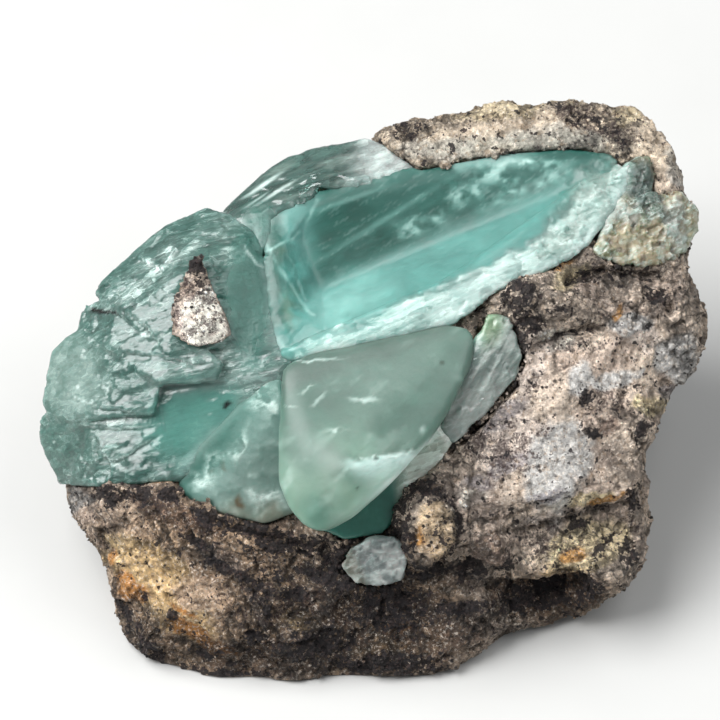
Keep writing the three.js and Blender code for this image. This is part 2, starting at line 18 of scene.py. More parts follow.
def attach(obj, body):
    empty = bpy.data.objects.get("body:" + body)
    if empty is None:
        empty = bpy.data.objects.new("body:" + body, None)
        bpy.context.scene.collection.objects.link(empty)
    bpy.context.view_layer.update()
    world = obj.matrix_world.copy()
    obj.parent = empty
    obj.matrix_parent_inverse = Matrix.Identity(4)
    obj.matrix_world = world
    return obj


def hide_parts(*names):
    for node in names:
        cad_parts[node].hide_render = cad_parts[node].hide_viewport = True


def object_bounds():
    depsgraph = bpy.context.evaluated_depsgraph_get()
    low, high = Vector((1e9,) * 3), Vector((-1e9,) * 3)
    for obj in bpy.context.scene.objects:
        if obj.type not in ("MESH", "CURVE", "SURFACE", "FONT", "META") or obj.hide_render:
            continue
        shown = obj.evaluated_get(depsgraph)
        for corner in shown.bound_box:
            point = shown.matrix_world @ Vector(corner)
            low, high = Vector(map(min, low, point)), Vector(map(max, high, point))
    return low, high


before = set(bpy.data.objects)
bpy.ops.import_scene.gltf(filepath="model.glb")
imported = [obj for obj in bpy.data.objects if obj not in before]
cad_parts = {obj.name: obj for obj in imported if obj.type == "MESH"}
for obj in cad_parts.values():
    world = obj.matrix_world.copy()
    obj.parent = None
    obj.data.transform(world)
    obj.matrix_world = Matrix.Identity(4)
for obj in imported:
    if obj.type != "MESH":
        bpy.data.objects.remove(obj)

CAD_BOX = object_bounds()

# ---- the display face's frame ----

MM = 0.001  # metres in a millimetre
LEAN_BACK = math.radians(50)  # lean of the display face, from the vertical
TURN = math.pi / 2 - LEAN_BACK
AXES = np.array([  # columns: the face's x, y and z in the row frame
    [1, 0, 0],
    [0, math.cos(TURN), -math.sin(TURN)],
    [0, math.sin(TURN), math.cos(TURN)],
])
FRONT_CRYSTAL_REACH = np.array([-5.7, -8.75, 9.0])  # its least x, least y and greatest z


def read(items, name, width=3, kind=float):
    """An array of one property of a mesh's vertices or edges, a row for each."""
    flat = np.zeros(len(items) * width, kind)
    items.foreach_get(name, flat)
    return flat.reshape(-1, width)


def mesh_points(mesh):
    return read(mesh.vertices, "co")


def origin_of_face():
    """Where the face frame's origin lies in the row frame, from the front crystal's own reach."""
    turned = mesh_points(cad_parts["front_crystal"].data) / MM @ AXES
    reach = np.array([turned[:, 0].min(), turned[:, 1].min(), turned[:, 2].max()])
    return AXES @ (reach - FRONT_CRYSTAL_REACH)


ORIGIN = origin_of_face()


def to_face(points_m):
    return (points_m / MM - ORIGIN) @ AXES


def to_row(points):
    return (points @ AXES.T + ORIGIN) * MM


# ---- noise ----


def hashed(corners, seed):
    """A repeatable random number from 0 to 1 for each whole-number corner."""
    c = corners.astype(np.int64)
    h = c[..., 0] * 374761393 + c[..., 1] * 668265263 + c[..., 2] * 2147483647 + seed * 1274126177
    h = (h ^ (h >> 13)) * 1103515245 & 0x7FFFFFFF
    h = (h ^ (h >> 15)) * 22695477 & 0x7FFFFFFF
    return ((h ^ (h >> 11)) & 0xFFFFFF) / 0xFFFFFF


def smooth_noise(points, size, seed):
    """Smooth noise from -1 to 1 with features about `size` wide (a number, or one per axis)."""
    p = points / size + 100.5
    low = np.floor(p)
    t = p - low
    t = t * t * (3 - 2 * t)
    total = np.zeros(len(p))
    for step in itertools.product((0, 1), repeat=3):
        weight = np.prod(np.where(step, t, 1 - t), axis=1)
        total += weight * hashed(low + step, seed)
    return 2 * total - 1


def fractal(points, size, octaves, seed):
    """Noise from about -1 to 1, each octave half as wide and half as strong as the one before."""
    size = np.asarray(size, float)
    total = np.zeros(len(points))
    for i in range(octaves):
        total += 0.5 ** i * smooth_noise(points, size / 2 ** i, seed + i)
    return total / (2 - 0.5 ** (octaves - 1))


def cells(points, size, seed):
    """Distance to the nearest cell centre, in cell sizes, each cell's own random number from 0 to 1,
    and the way to that centre."""
    p = points / size + 100.5
    low = np.floor(p)
    nearest = np.full(len(p), 9.0)
    own = np.zeros(len(p))
    offset = np.zeros_like(p)
    for step in itertools.product((-1, 0, 1), repeat=3):
        corner = low + step
        jitter = np.stack([hashed(corner, seed + k) for k in (11, 12, 13)], axis=1)
        away = p - corner - jitter
        d = np.sqrt((away ** 2).sum(axis=1))
        closer = d < nearest
        own = np.where(closer, hashed(corner, seed + 14), own)
        offset = np.where(closer[:, None], away, offset)
        nearest = np.where(closer, d, nearest)
    return nearest, own, offset


def tilted_chunks(points, size, seed):
    """Broken chunks: each cell is a small tilted plane, from about -0.6 to 0.6 high."""
    _, own, away = cells(points, size, seed)
    tilt_x, tilt_y = (own * 7.31) % 1 - 0.5, (own * 13.7) % 1 - 0.5
    return (own - 0.5) + 0.9 * (away[:, 0] * tilt_x + away[:, 1] * tilt_y)


LEFT_RUN = 0.244  # run of the left crystals' cleavage on the display face, in radians
ALONG_LEFT_RUN = np.array([  # rows: along the run, across it and out of the face
    [math.cos(LEFT_RUN), math.sin(LEFT_RUN), 0], [-math.sin(LEFT_RUN), math.cos(LEFT_RUN), 0], [0, 0, 1],
])


def wandering(points, size, amount, seed):
    """The points pushed about by smooth noise, to make the edges of patches uneven."""
    push = np.stack([fractal(points, size, 3, seed + k) for k in range(3)], axis=1)
    return points + amount * push


def ramp(value, low, high):
    """0 up to low, 1 from high on, smooth between."""
    t = np.clip((value - low) / (high - low), 0, 1)
    return t * t * (3 - 2 * t)


# ---- meshes ----


def placed(name, data):
    """A new object in the scene."""
    ob = bpy.data.objects.new(name, data)
    bpy.context.scene.collection.objects.link(ob)
    return ob


WELD_REACH = 0.002


def remeshed_copy(node, name, voxel):
    """A new object with the node's form in even small faces; its points are in face millimetres."""
    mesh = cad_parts[node].data.copy()
    mesh.vertices.foreach_set("co", to_face(mesh_points(mesh)).ravel())
    mesh.materials.clear()
    ob = placed(name, mesh)
    weld = ob.modifiers.new("weld", "WELD")
    weld.merge_threshold = WELD_REACH
    even = ob.modifiers.new("even", "REMESH")
    even.mode = "VOXEL"
    even.voxel_size = voxel
    ready = ob.evaluated_get(bpy.context.evaluated_depsgraph_get())
    ob.data = bpy.data.meshes.new_from_object(ready)
    ob.modifiers.clear()
    return ob


def edge_ends(mesh):
    return read(mesh.edges, "vertices", 2, np.int64)


def relax(points, ends, rounds, share=0.5):
    """Moves each point part of the way to the middle of its neighbours, round after round."""
    a, b = ends[:, 0], ends[:, 1]
    count = np.bincount(a, minlength=len(points)) + np.bincount(b, minlength=len(points))
    count = np.maximum(count, 1)[:, None]
    for _ in range(rounds):
        near = np.zeros_like(points)
        for axis in range(points.shape[1]):
            near[:, axis] = np.bincount(a, points[b, axis], len(points))
            near[:, axis] += np.bincount(b, points[a, axis], len(points))
        points = points + share * (near / count - points)
    return points


def set_points(mesh, points):
    mesh.vertices.foreach_set("co", points.ravel())
    mesh.update()


def keep_colour(mesh, name, colours):
    values = np.ones((len(mesh.vertices), 4))
    values[:, :3] = colours
    layer = mesh.color_attributes.new(name, "FLOAT_COLOR", "POINT")
    layer.data.foreach_set("color", np.clip(values, 0, 1).ravel())


def finish_piece(ob, node, material, smooth=True):
    row = to_row(mesh_points(ob.data))
    low, high = (np.array(corner) for corner in CAD_BOX)
    set_points(ob.data, np.clip(row, low, high))
    ob.data.materials.append(material)
    ob.data.polygons.foreach_set("use_smooth", [smooth] * len(ob.data.polygons))
    if node:
        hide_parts(node)
    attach(ob, "root")


# ---- places on the display face ----

# A patch is an ellipse, (x, y, half length, half width) and maybe its turn in degrees.
# A path is a list of (x, y) points.


def most(points, patches, soft):
    """How far each point is inside the nearest patch: 1 well inside, and falling to 0 outside, over a
    rim that is the wider the greater `soft` is. Each patch is an ellipse seen along z."""
    total = np.zeros(len(points))
    for x, y, long, wide, *turn in patches:
        angle = math.radians(*turn or (0,))
        px, py = points[:, 0] - x, points[:, 1] - y
        along = (px * math.cos(angle) + py * math.sin(angle)) / long
        across = (py * math.cos(angle) - px * math.sin(angle)) / wide
        total = np.maximum(total, 1 - ramp(np.hypot(along, across), 1 - soft, 1 + soft))
    return total


def beside(points, path):
    """Distance to a path of (x, y) points, and the signed side: positive to the path's left."""
    nearest = np.full(len(points), np.inf)
    side = np.zeros(len(points))
    for (ax, ay), (bx, by) in zip(path, path[1:]):
        ex, ey = bx - ax, by - ay
        px, py = points[:, 0] - ax, points[:, 1] - ay
        along = np.clip((px * ex + py * ey) / (ex * ex + ey * ey), 0, 1)
        away = np.hypot(px - ex * along, py - ey * along)
        closer = away < nearest
        nearest = np.where(closer, away, nearest)
        side = np.where(closer, np.sign(ex * py - ey * px), side)
    return nearest, side


def above(points, path):
    """Signed distance above a path that runs from left to right."""
    nearest, side = beside(points, path)
    return nearest * side


def by_path(points, path, width):
    """1 on a path, falling softly to 0 beside it."""
    return np.exp(-((beside(points, path)[0] / width) ** 2))


def mixed(colour_a, colour_b, share):
    """Blend of two colours, each one colour or one per point."""
    share = np.clip(share, 0, 1)[:, None]
    return np.asarray(colour_a) * (1 - share) + np.asarray(colour_b) * share


def layered(colour, *layers):
    """A colour with others laid over it in turn, each given with its share."""
    for over, share in layers:
        colour = mixed(colour, over, share)
    return colour


def rgb(red, green, blue):
    """A colour given as 0 to 255 screen values, as the light values that the shaders take."""
    values = np.array([red, green, blue]) / 255
    return np.where(values <= 0.04045, values / 12.92, ((values + 0.055) / 1.055) ** 2.4)


# ---- materials ----

FIBRES = (math.cos(math.radians(24)), math.sin(math.radians(24)))  # run of the main crystal's axis
CLEAVAGE = (math.cos(math.radians(14)), math.sin(math.radians(14)))  # run of the left crystals' steps


class Nodes:
    """Short names for making one material's nodes."""

    def __init__(self, name):
        self.material = bpy.data.materials.new(name)
        self.material.use_nodes = True
        self.tree = self.material.node_tree
        self.tree.nodes.clear()
        self.output = self.tree.nodes.new("ShaderNodeOutputMaterial")
        self.principled = self.tree.nodes.new("ShaderNodeBsdfPrincipled")
        self.feed(self.output.inputs["Surface"], self.principled.outputs["BSDF"])
        self.place = self.scaled(self.node("TexCoord", {}, "Object"), 1 / MM)

    def feed(self, target, value):
        if isinstance(value, bpy.types.NodeSocket):
            self.tree.links.new(value, target)
        else:
            target.default_value = (*value, 1) if target.type == "RGBA" else value

    def set(self, name, value):
        self.feed(self.principled.inputs[name], value)

    def node(self, kind, inputs, output, **settings):
        """Makes a node and gives one of its outputs; `inputs` maps its sockets to what feeds them."""
        made = self.tree.nodes.new("ShaderNode" + kind)
        for name, value in settings.items():
            setattr(made, name, value)
        for name, value in inputs.items():
            self.feed(made.inputs[name], value)
        return made.outputs[output]

    def attribute(self, name):
        return self.node("Attribute", {}, "Color", attribute_name=name)

    def split(self, colour):
        red = self.node("SeparateColor", {"Color": colour}, "Red")
        return red, red.node.outputs["Green"], red.node.outputs["Blue"]

    def maths(self, operation, a, b):
        return self.node("Math", {0: a, 1: b}, "Value", operation=operation)

    def times(self, first, *others):
        for other in others:
            first = self.maths("MULTIPLY", first, other)
        return first

    def plus(self, first, *others):
        for other in others:
            first = self.maths("ADD", first, other)
        return first

    def minus(self, a, b):
        return self.maths("SUBTRACT", a, b)

    def range(self, value, low, high, to_low=0.0, to_high=1.0):
        inputs = {"Value": value, "From Min": low, "From Max": high, "To Min": to_low, "To Max": to_high}
        return self.node("MapRange", inputs, "Result", interpolation_type="SMOOTHSTEP")

    def between(self, value, to_low, to_high):
        """`value`, which runs from 0 to 1, moved to another range."""
        return self.range(value, 0.0, 1.0, to_low, to_high)

    def mix(self, share, a, b, blend="MIX"):
        return self.node("Mix", {0: share, 6: a, 7: b}, 2, data_type="RGBA", blend_type=blend)

    def vector(self, operation, a, b=(0, 0, 0), c=(0, 0, 0)):
        return self.node("VectorMath", {0: a, 1: b, 2: c}, "Vector", operation=operation)

    def scaled(self, a, scale):
        return self.node("VectorMath", {0: a, "Scale": scale}, "Vector", operation="SCALE")

    def noise(self, size, detail=3.0, rough=0.55, output="Fac", place=None):
        inputs = {"Vector": place or self.place, "Scale": 1 / size, "Detail": detail, "Roughness": rough}
        return self.node("TexNoise", inputs, output)

    def voronoi(self, size, output="Distance", feature="F1", place=None):
        inputs = {"Vector": place or self.place, "Scale": 1 / size}
        return self.node("TexVoronoi", inputs, output, feature=feature)

    def facets(self, colour, strength):
        """The surface's normal, tilted by a random colour that is constant over each small face."""
        tilt = self.scaled(self.vector("SUBTRACT", colour, (0.5, 0.5, 0.5)), strength)
        surface = self.node("NewGeometry", {}, "Normal")
        return self.vector("NORMALIZE", self.vector("ADD", surface, tilt))

    def stretched(self, direction, along, across):
        """Coordinates drawn out along a direction of the display face."""
        x = AXES @ np.array([*direction, 0.0])
        z = AXES[:, 2]
        turned = Matrix([list(x), list(np.cross(z, x)), list(z)]).to_euler()
        run = self.node("Mapping", {"Vector": self.place, "Rotation": turned}, "Vector")
        return self.vector("MULTIPLY", run, (1 / along, 1 / across, 1 / across))

    def shaken(self, place, size, amount):
        """Coordinates pushed about by noise, so that cells made from them have uneven edges."""
        push = self.noise(size, output="Color", place=place)
        return self.vector("MULTIPLY_ADD", push, (amount, amount, amount), place)

    def bump(self, height, distance, before=None):
        """`distance` is the height of the bumps, in millimetres."""
        inputs = {"Strength": 1.0, "Distance": distance * MM, "Height": height}
        if before is not None:
            inputs["Normal"] = before
        return self.node("Bump", inputs, "Normal")


# Light values of the rock's colours.
PINK_CREAM = rgb(248, 230, 216)
YELLOW_CREAM = rgb(240, 220, 176)
TAN = rgb(168, 142, 114)
BROWN = rgb(118, 92, 78)
PALE_GREY = rgb(204, 203, 200)
GREY_VIOLET = rgb(138, 133, 138)
OCHRE = rgb(204, 148, 76)
DARK = rgb(27, 22, 25)
DARK_BROWN = rgb(68, 54, 52)
SPECK = rgb(54, 38, 38)


def rock_material(name):
    """Sugary rock, peppered with dark specks and crusts, with painted shade in its pits. The point colour
    `tint` is its colour with painted light and shade in it, and `tone` holds the density of the specks, how
    much dark crust there is, and how even it is."""
    n = Nodes(name)
    specks, dark, calm = n.split(n.attribute("tone"))
    grain_value, grain_hue, grain_extra = n.split(n.voronoi(0.24, "Color"))
    fine_value, fine_hue, _ = n.split(n.voronoi(0.11, "Color"))
    height = n.plus(n.times(n.voronoi(0.3), -0.4), n.times(n.noise(0.34, 7.0, 0.78), 1.3))
    mottle = n.range(n.noise(0.42, 5.0, 0.7), 0.53, 0.62, 0.0, 0.5)
    base = n.mix(mottle, n.attribute("tint"), TAN)
    bright = n.range(n.noise(0.2, 5.0, 0.75), 0.54, 0.6, 0.0, 0.55)
    base = n.mix(bright, base, rgb(246, 234, 220))
    clots = n.range(n.noise(1.2, 5.0, 0.62), 0.47, 0.5, n.between(calm, 0.5, 0.86), 1.1)
    broken = n.voronoi(1.0, "Distance", "DISTANCE_TO_EDGE", n.shaken(n.scaled(n.place, 1 / 1.15), 1.0, 0.7))
    parted = n.range(n.noise(2.2, 3.0, 0.6), 0.42, 0.6, n.between(calm, 0.3, 0.75), 1.0)
    # grey that darkens the colour: random grain tones, dark clots, dark lines along broken cell edges, and
    # painted shade in the pits, where the bump height is low
    shade = n.times(
        n.between(grain_value, 0.86, 1.12), n.between(fine_value, 0.84, 1.12),
        n.range(height, 0.4, 0.5, n.between(calm, 0.6, 0.82), 1.08), clots,
        n.range(broken, 0.0, 0.1, parted, 1.0),
    )
    grey = n.node("CombineColor", {"Red": shade, "Green": shade, "Blue": shade}, "Color")
    base = n.mix(1.0, base, grey, "MULTIPLY")
    dot_place, dot_chance = n.voronoi(0.27), n.split(n.voronoi(0.27, "Color"))[1]
    share = n.times(specks, n.range(n.noise(0.9, 4.0, 0.7), 0.38, 0.62, 0.3, 1.5))
    reach = n.range(n.minus(share, dot_chance), 0.0, 0.25, 0.0, 0.42)
    dots = n.range(n.minus(reach, dot_place), -0.01, 0.03)
    flecks = n.minus(n.noise(0.16, 4.0, 0.75), n.minus(0.69, n.times(share, 0.3)))
    dots = n.maths("MAXIMUM", dots, n.range(flecks, -0.01, 0.02, 0.0, 0.9))
    base = n.mix(n.times(dots, n.between(fine_hue, 0.95, 0.6)), base, SPECK)
    edge = n.plus(
        n.times(n.minus(n.noise(0.55, 4.0, 0.62), 0.5), 3.4), n.times(n.minus(grain_value, 0.5), 0.5),
    )
    crust_mask = n.range(n.plus(n.times(dark, 0.85), edge), 0.47, 0.53)
    crust = n.mix(n.range(n.times(fine_value, grain_hue), 0.3, 0.7), DARK, DARK_BROWN)
    n.set("Base Color", n.mix(n.times(crust_mask, 0.94), base, crust))
    n.set("Roughness", n.range(grain_extra, 0.82, 1.0, 0.8, 0.25))
    n.principled.inputs["Specular IOR Level"].default_value = 0.45
    rough = n.bump(n.times(height, n.between(calm, 1.0, 0.5)), 0.5)
    n.set("Normal", n.bump(n.voronoi(0.11), 0.03, rough))
    return n.material


def crystal_material(name, clear, absorbs, depth, roughness=0.08, glow=0.7, run=FIBRES, gloss=0.4):
    """Glassy crystal. The point colour `tint` is the colour of its veils and of the light it passes, with
    painted light and shade in places, and `frost` holds how milky, how splintered and how rough each place
    is.

    `clear` is the share of light that passes where it isn't milky, `absorbs` the light left of each
    colour after `depth` millimetres of crystal, `glow` how far light spreads in the milky part,
    `run` the direction of its cleavage on the display face, and `gloss` its specular level.
    """
    n = Nodes(name)
    milky, splintered, rough = n.split(n.attribute("frost"))
    streaks = n.noise(1.0, 4.0, 0.6, place=n.stretched(run, 2.2, 0.26))
    flecks = n.noise(0.4, 4.0, 0.65)
    haze = n.noise(1.4, 4.0, 0.6)
    shards = n.shaken(n.stretched(run, 1.5, 0.5), 1.1, 0.5)
    slivers = n.shaken(n.stretched(run, 0.5, 0.16), 2.0, 0.4)
    shard = n.voronoi(1.0, "Color", place=shards)
    sliver = n.voronoi(1.0, "Color", place=slivers)
    veil, sliver_veil = n.split(shard)[0], n.split(sliver)[0]
    rim = n.range(n.voronoi(1.0, "Distance", "DISTANCE_TO_EDGE", shards), 0.0, 0.035, 1.0, 0.0)
    rim = n.times(rim, splintered, n.range(haze, 0.45, 0.6))
    hair = n.range(n.voronoi(1.0, "Distance", "DISTANCE_TO_EDGE", slivers), 0.0, 0.07, 1.0, 0.0)
    hair = n.times(hair, splintered, n.range(streaks, 0.45, 0.6, 0.0, 0.9))
    uneven = n.plus(
        n.minus(veil, 0.5), n.times(n.minus(sliver_veil, 0.5), 0.7), n.minus(streaks, 0.5),
    )
    milk = n.plus(
        milky, n.times(uneven, splintered, 0.8), n.times(n.minus(haze, 0.5), 0.3),
        n.times(n.minus(flecks, 0.5), rough, 0.8), n.times(n.maths("MAXIMUM", rim, hair), 0.6),
    )
    whiteness = n.range(milk, 0.5, 1.1, 0.0, 0.6)
    n.set("Base Color", n.mix(whiteness, n.attribute("tint"), rgb(218, 234, 228)))
    n.set("Transmission Weight", n.between(milk, clear, 0.06))
    n.set("Roughness", n.between(rough, roughness, 0.5))
    n.principled.inputs["IOR"].default_value = 1.6
    n.principled.inputs["Specular IOR Level"].default_value = gloss
    n.principled.inputs["Subsurface Weight"].default_value = glow
    n.principled.inputs["Subsurface Radius"].default_value = (0.6, 1.0, 0.95)
    n.principled.inputs["Subsurface Scale"].default_value = 1.1 * MM
    taken = -np.log(np.asarray(absorbs))
    absorption = n.tree.nodes.new("ShaderNodeVolumeAbsorption")
    absorption.inputs["Color"].default_value = (*(1 - taken / taken.max()), 1)
    absorption.inputs["Density"].default_value = taken.max() / (depth * MM)
    n.feed(n.output.inputs["Volume"], absorption.outputs["Volume"])
    tilted = n.facets(n.mix(0.68, shard, sliver), n.times(splintered, 0.95))
    fibre_height = n.noise(1.0, 3.0, 0.55, place=n.stretched(run, 3.0, 0.16))
    height = n.plus(n.times(fibre_height, splintered), n.times(flecks, rough))
    n.set("Normal", n.bump(height, 0.1, tilted))
    return n.material


# ---- grains ----

GRAIN_SEED = 90


def crumb_form():
    bm = bmesh.new()
    bmesh.ops.create_icosphere(bm, subdivisions=1, radius=1.0)
    corners = np.array([v.co for v in bm.verts])
    faces = np.array([[v.index for v in f.verts] for f in bm.faces])
    bm.free()
    return corners, faces


def shuffled(places, which, count, seed):
    """Indices of up to `count` of the places marked in `which`, in a repeatable shuffled order."""
    chosen = np.flatnonzero(which)
    order = np.argsort(hashed(np.round(places[chosen] * 200), seed), kind="stable")
    return chosen[order[:count]]


def dice_for(places, seed):
    """Eight repeatable random numbers for each place."""
    keys = np.round(places * 200)
    return np.stack([hashed(keys, seed + k) for k in range(8)], axis=1)


def make_crumbs(name, slot, material, places, small, large, colours):
    """One mesh of broken grains at the places; `colours` maps layer names to a colour per grain."""
    form, faces = crumb_form()
    dice = dice_for(places, GRAIN_SEED)
    form_dice = np.stack([0.7 + 0.6 * dice[:, 1], 0.6 + 0.5 * dice[:, 2], 0.7 + 0.4 * dice[:, 3]], axis=1)
    size = small + (large - small) * dice[:, :1] ** 2 * form_dice
    spin = dice[:, 4:8] - 0.5
    spin = (spin / np.linalg.norm(spin, axis=1)[:, None])[:, None]
    turn, axis = spin[..., :1], spin[..., 1:]  # a quaternion for each grain
    local = form[None] * size[:, None]
    across = np.cross(axis, local)
    turned = local + 2 * (turn * across + np.cross(axis, across))
    corners = (turned + places[:, None]).reshape(-1, 3)
    dents = [smooth_noise(corners, 0.6 * large, GRAIN_SEED + k) for k in range(3)]
    corners = corners + 0.25 * large * np.stack(dents, axis=1)
    every = (faces[None] + len(form) * np.arange(len(places))[:, None, None]).reshape(-1, 3)
    mesh = bpy.data.meshes.new(name)
    mesh.from_pydata(corners.tolist(), [], every.tolist())
    ob = placed(name, mesh)
    for layer, values in colours.items():
        keep_colour(mesh, layer, np.repeat(values, len(form), axis=0))
    finish_piece(ob, None, material, smooth=False)


# ---- the rock ----

CRUSTS = [  # dark mineral crusts
    (-15.9, -6.6, 0.9, 0.6), (-14.2, -6.5, 0.9, 0.6, 10), (-12.3, -6.6, 0.8, 0.5),
    (-9.6, -7.8, 1.2, 0.6, -20), (-17.8, -8.3, 0.3, 1.0, 25), (-5.6, -9.1, 3.8, 0.8, -16),
    (-1.5, -10.6, 1.6, 1.2, -30), (1.2, -13.4, 2.4, 1.5, -10), (-4.8, -12.5, 0.8, 0.5),
    (-2.0, -11.6, 2.4, 0.7, -12), (5.4, -13.4, 1.6, 0.6), (-6.4, -12.9, 0.5, 0.5), (-7.1, -14.9, 0.7, 0.5),
    (-3.6, -15.4, 2.2, 1.0, 10), (0.8, -16.8, 3.4, 0.7), (-15.2, -13.6, 0.5, 1.2, 35),
    (-13.3, -15.9, 0.5, 1.6, 40), (-13.8, -12.7, 0.35, 0.3), (-12.1, -14.0, 0.4, 0.3),
    (-8.4, -11.2, 1.8, 0.45, -35), (-10.6, -9.4, 1.0, 0.35, -25), (-10.0, -16.0, 0.9, 0.35, -20),
    (-9.0, -17.3, 2.6, 0.4, -4), (1.9, -9.0, 0.7, 2.1), (3.4, -11.0, 1.4, 0.5), (2.8, -6.2, 1.2, 0.6, 10),
    (5.2, -7.8, 0.35, 1.4, 10), (1.6, -6.6, 0.9, 1.1), (4.0, -6.4, 0.8, 0.5), (6.0, -10.9, 1.1, 0.7, 10),
    (8.1, -10.5, 0.6, 0.8), (10.0, -13.1, 2.4, 0.6, 5), (13.0, -12.1, 0.8, 0.5),
    (15.5, -10.0, 0.4, 0.9, -10), (13.9, -9.6, 0.3, 1.0, -30), (15.8, -6.9, 0.4, 0.8),
    (12.6, -8.4, 0.6, 0.3, 10), (16.2, -2.8, 0.4, 0.6), (13.3, -2.6, 0.5, 0.2), (13.0, -0.6, 0.4, 0.5),
    (7.4, -0.4, 2.0, 0.2, 52), (8.7, 5.6, 1.0, 1.2, 30), (9.3, 4.0, 1.0, 0.9), (9.0, 2.7, 0.7, 0.9),
    (11.0, 4.8, 0.6, 0.35), (12.6, 6.6, 0.7, 0.4, 20), (17.2, 5.6, 0.8, 0.4, -10), (-10.4, 7.6, 0.8, 0.9),
    (-12.2, 4.6, 0.35, 1.3, -15),
]
SPECKLED = [  # more dark specks than elsewhere
    (13.2, 16.1, 3.2, 0.9, -24), (9.6, 0.2, 1.0, 0.8, 20), (2.0, 15.3, 1.2, 0.6), (7.0, -3.7, 1.4, 1.0, 20),
    (7.4, 6.6, 1.0, 0.8), (-11.6, -7.6, 3.6, 1.0, -15), (14.2, -1.0, 1.4, 1.4), (12.6, 2.6, 1.6, 0.5),
    (-6.4, -12.8, 3.2, 1.8), (16.8, 9.0, 1.0, 1.0), (11.0, -9.6, 2.4, 1.4),
]
ROCK_PATCHES = [  # (colour, share, patches), each laid over those before it
    (YELLOW_CREAM, 0.9, [
        (-12.9, -12.2, 4.8, 1.5, -42), (-13.0, -10.4, 2.2, 0.9, -28), (8.6, 17.2, 4.0, 0.6, 4),
        (15.4, 16.8, 1.2, 0.8, -30), (-4.1, -13.9, 1.1, 0.6), (12.8, -9.8, 3.0, 1.4, 18),
        (16.7, -1.2, 1.2, 0.6), (6.4, 17.2, 2.2, 0.7, 10), (15.6, 17.0, 1.2, 0.6),
        (12.0, 6.6, 1.4, 0.5, 25), (0.4, -15.7, 1.6, 0.4), (12.6, -7.0, 2.2, 0.4, 12),
    ]),
    (PINK_CREAM, 0.9, [
        (8.4, -3.2, 2.6, 1.5, 20), (-10.4, -12.5, 1.5, 1.0), (-10.1, 4.3, 1.7, 1.7),
        (10.4, 2.6, 1.6, 0.9, 20), (6.0, -6.2, 1.0, 0.8), (10.4, -8.0, 1.6, 0.4, 10),
        (9.2, 0.8, 1.4, 0.9, 40), (16.4, 3.2, 1.0, 0.8),
    ]),
    (PALE_GREY, 0.9, [
        (2.6, 14.6, 1.0, 0.5, 10), (11.4, 15.2, 2.8, 0.6, -4), (11.2, -4.8, 1.9, 2.9, -10),
        (12.5, 0.5, 0.9, 1.0), (18.4, 1.8, 1.4, 1.4), (14.7, 0.4, 1.6, 0.5, 20),
        (-17.9, -6.8, 1.0, 0.7, -20), (10.8, 14.9, 3.2, 0.7, -3), (4.2, 14.4, 2.2, 0.6, 10),
        (18.5, 13.4, 0.9, 1.2), (4.9, -8.2, 0.4, 0.8), (15.6, 3.9, 1.4, 0.6),
    ]),
    (GREY_VIOLET, 0.75, [
        (8.0, -1.6, 1.7, 0.6, 28), (8.3, -4.5, 1.3, 0.5, 30), (-7.1, -13.1, 0.5, 1.4, 28),
        (-9.3, -10.0, 1.4, 0.7, -25), (6.4, -5.6, 0.9, 0.5), (12.6, 14.4, 1.4, 0.4),
        (10.6, -6.6, 1.2, 0.4, 20), (17.9, -0.6, 0.8, 0.5, 30),
    ]),
    (rgb(214, 188, 152), 0.9, [(3.9, -8.8, 1.1, 1.5, -10)]),
    (rgb(248, 232, 220), 0.9, [(-10.0, 3.8, 1.7, 1.8)]),
    (BROWN, 0.7, [
        (6.9, -9.6, 0.9, 0.7), (3.2, -6.2, 1.0, 0.5), (-2.6, -13.4, 1.6, 1.6), (14.4, -2.4, 0.6, 0.5),
        (10.0, -12.8, 3.4, 1.0, 5), (1.0, -14.6, 5.6, 2.4), (-1.8, -11.6, 2.6, 0.9, -15),
        (-12.0, -7.6, 3.4, 0.7, -18), (2.2, 15.4, 0.8, 0.4), (-5.4, -16.2, 5.0, 1.2),
    ]),
    (OCHRE, 0.9, [
        (-14.5, -12.2, 1.1, 0.6, -35), (-11.0, -14.7, 1.5, 0.4, -24), (-11.4, -13.7, 1.1, 0.2, -20),
        (-9.3, -15.7, 1.3, 0.4, -24), (-15.7, -10.5, 0.35, 0.5), (2.9, -8.9, 0.35, 0.6, -10),
        (14.8, 4.7, 0.22, 0.5, -15), (1.4, -14.6, 0.9, 0.4, 10), (11.4, 7.1, 0.8, 0.2, 30),
        (14.4, -6.8, 1.3, 0.25, 20), (12.2, -10.2, 0.9, 0.4, 20),
    ]),
]
SHADED = [  # painted shade: darker rock where it lies in shadow
    (-2.0, -14.6, 7.8, 4.0), (2.4, -12.6, 4.6, 3.0), (8.2, -13.6, 4.2, 1.2, 10),
    (-13.8, -15.4, 1.4, 2.4, 30), (-2.6, -11.6, 2.8, 1.6, -20), (5.4, -13.6, 3.0, 1.8),
    (-9.4, -11.4, 2.8, 1.0, -32), (-8.6, -16.0, 3.4, 1.0, -8), (14.6, -4.0, 0.9, 0.9),
    (-1.6, -11.2, 2.2, 1.4), (14.6, 6.2, 1.8, 0.9, 20),
]
PALE = [  # brighter rock: partly paler stone, partly painted light over the shade of cracks and overhangs
    (12.2, -6.9, 2.4, 0.7, 12), (12.6, -7.2, 2.0, 0.6, 12), (-13.4, -11.6, 3.6, 1.3, -42),
    (17.4, 14.6, 1.0, 1.6), (-8.6, -12.4, 2.2, 1.2, -20), (13.4, 1.0, 3.6, 2.8), (13.8, -6.7, 2.0, 0.8, 10),
    (6.2, -6.4, 1.2, 1.2), (3.6, -8.7, 0.8, 1.6), (16.8, 14.0, 1.2, 3.0), (10.8, -10.4, 2.6, 1.0, 10),
    (14.2, 15.4, 1.6, 0.8, -40), (-10.0, 4.0, 1.8, 2.2), (-9.9, 3.2, 1.2, 0.9), (11.0, 3.0, 1.2, 1.0),
    (11.2, -6.4, 1.8, 0.8, 10), (15.4, -1.4, 2.0, 2.2), (14.8, 12.6, 1.4, 1.4),
]
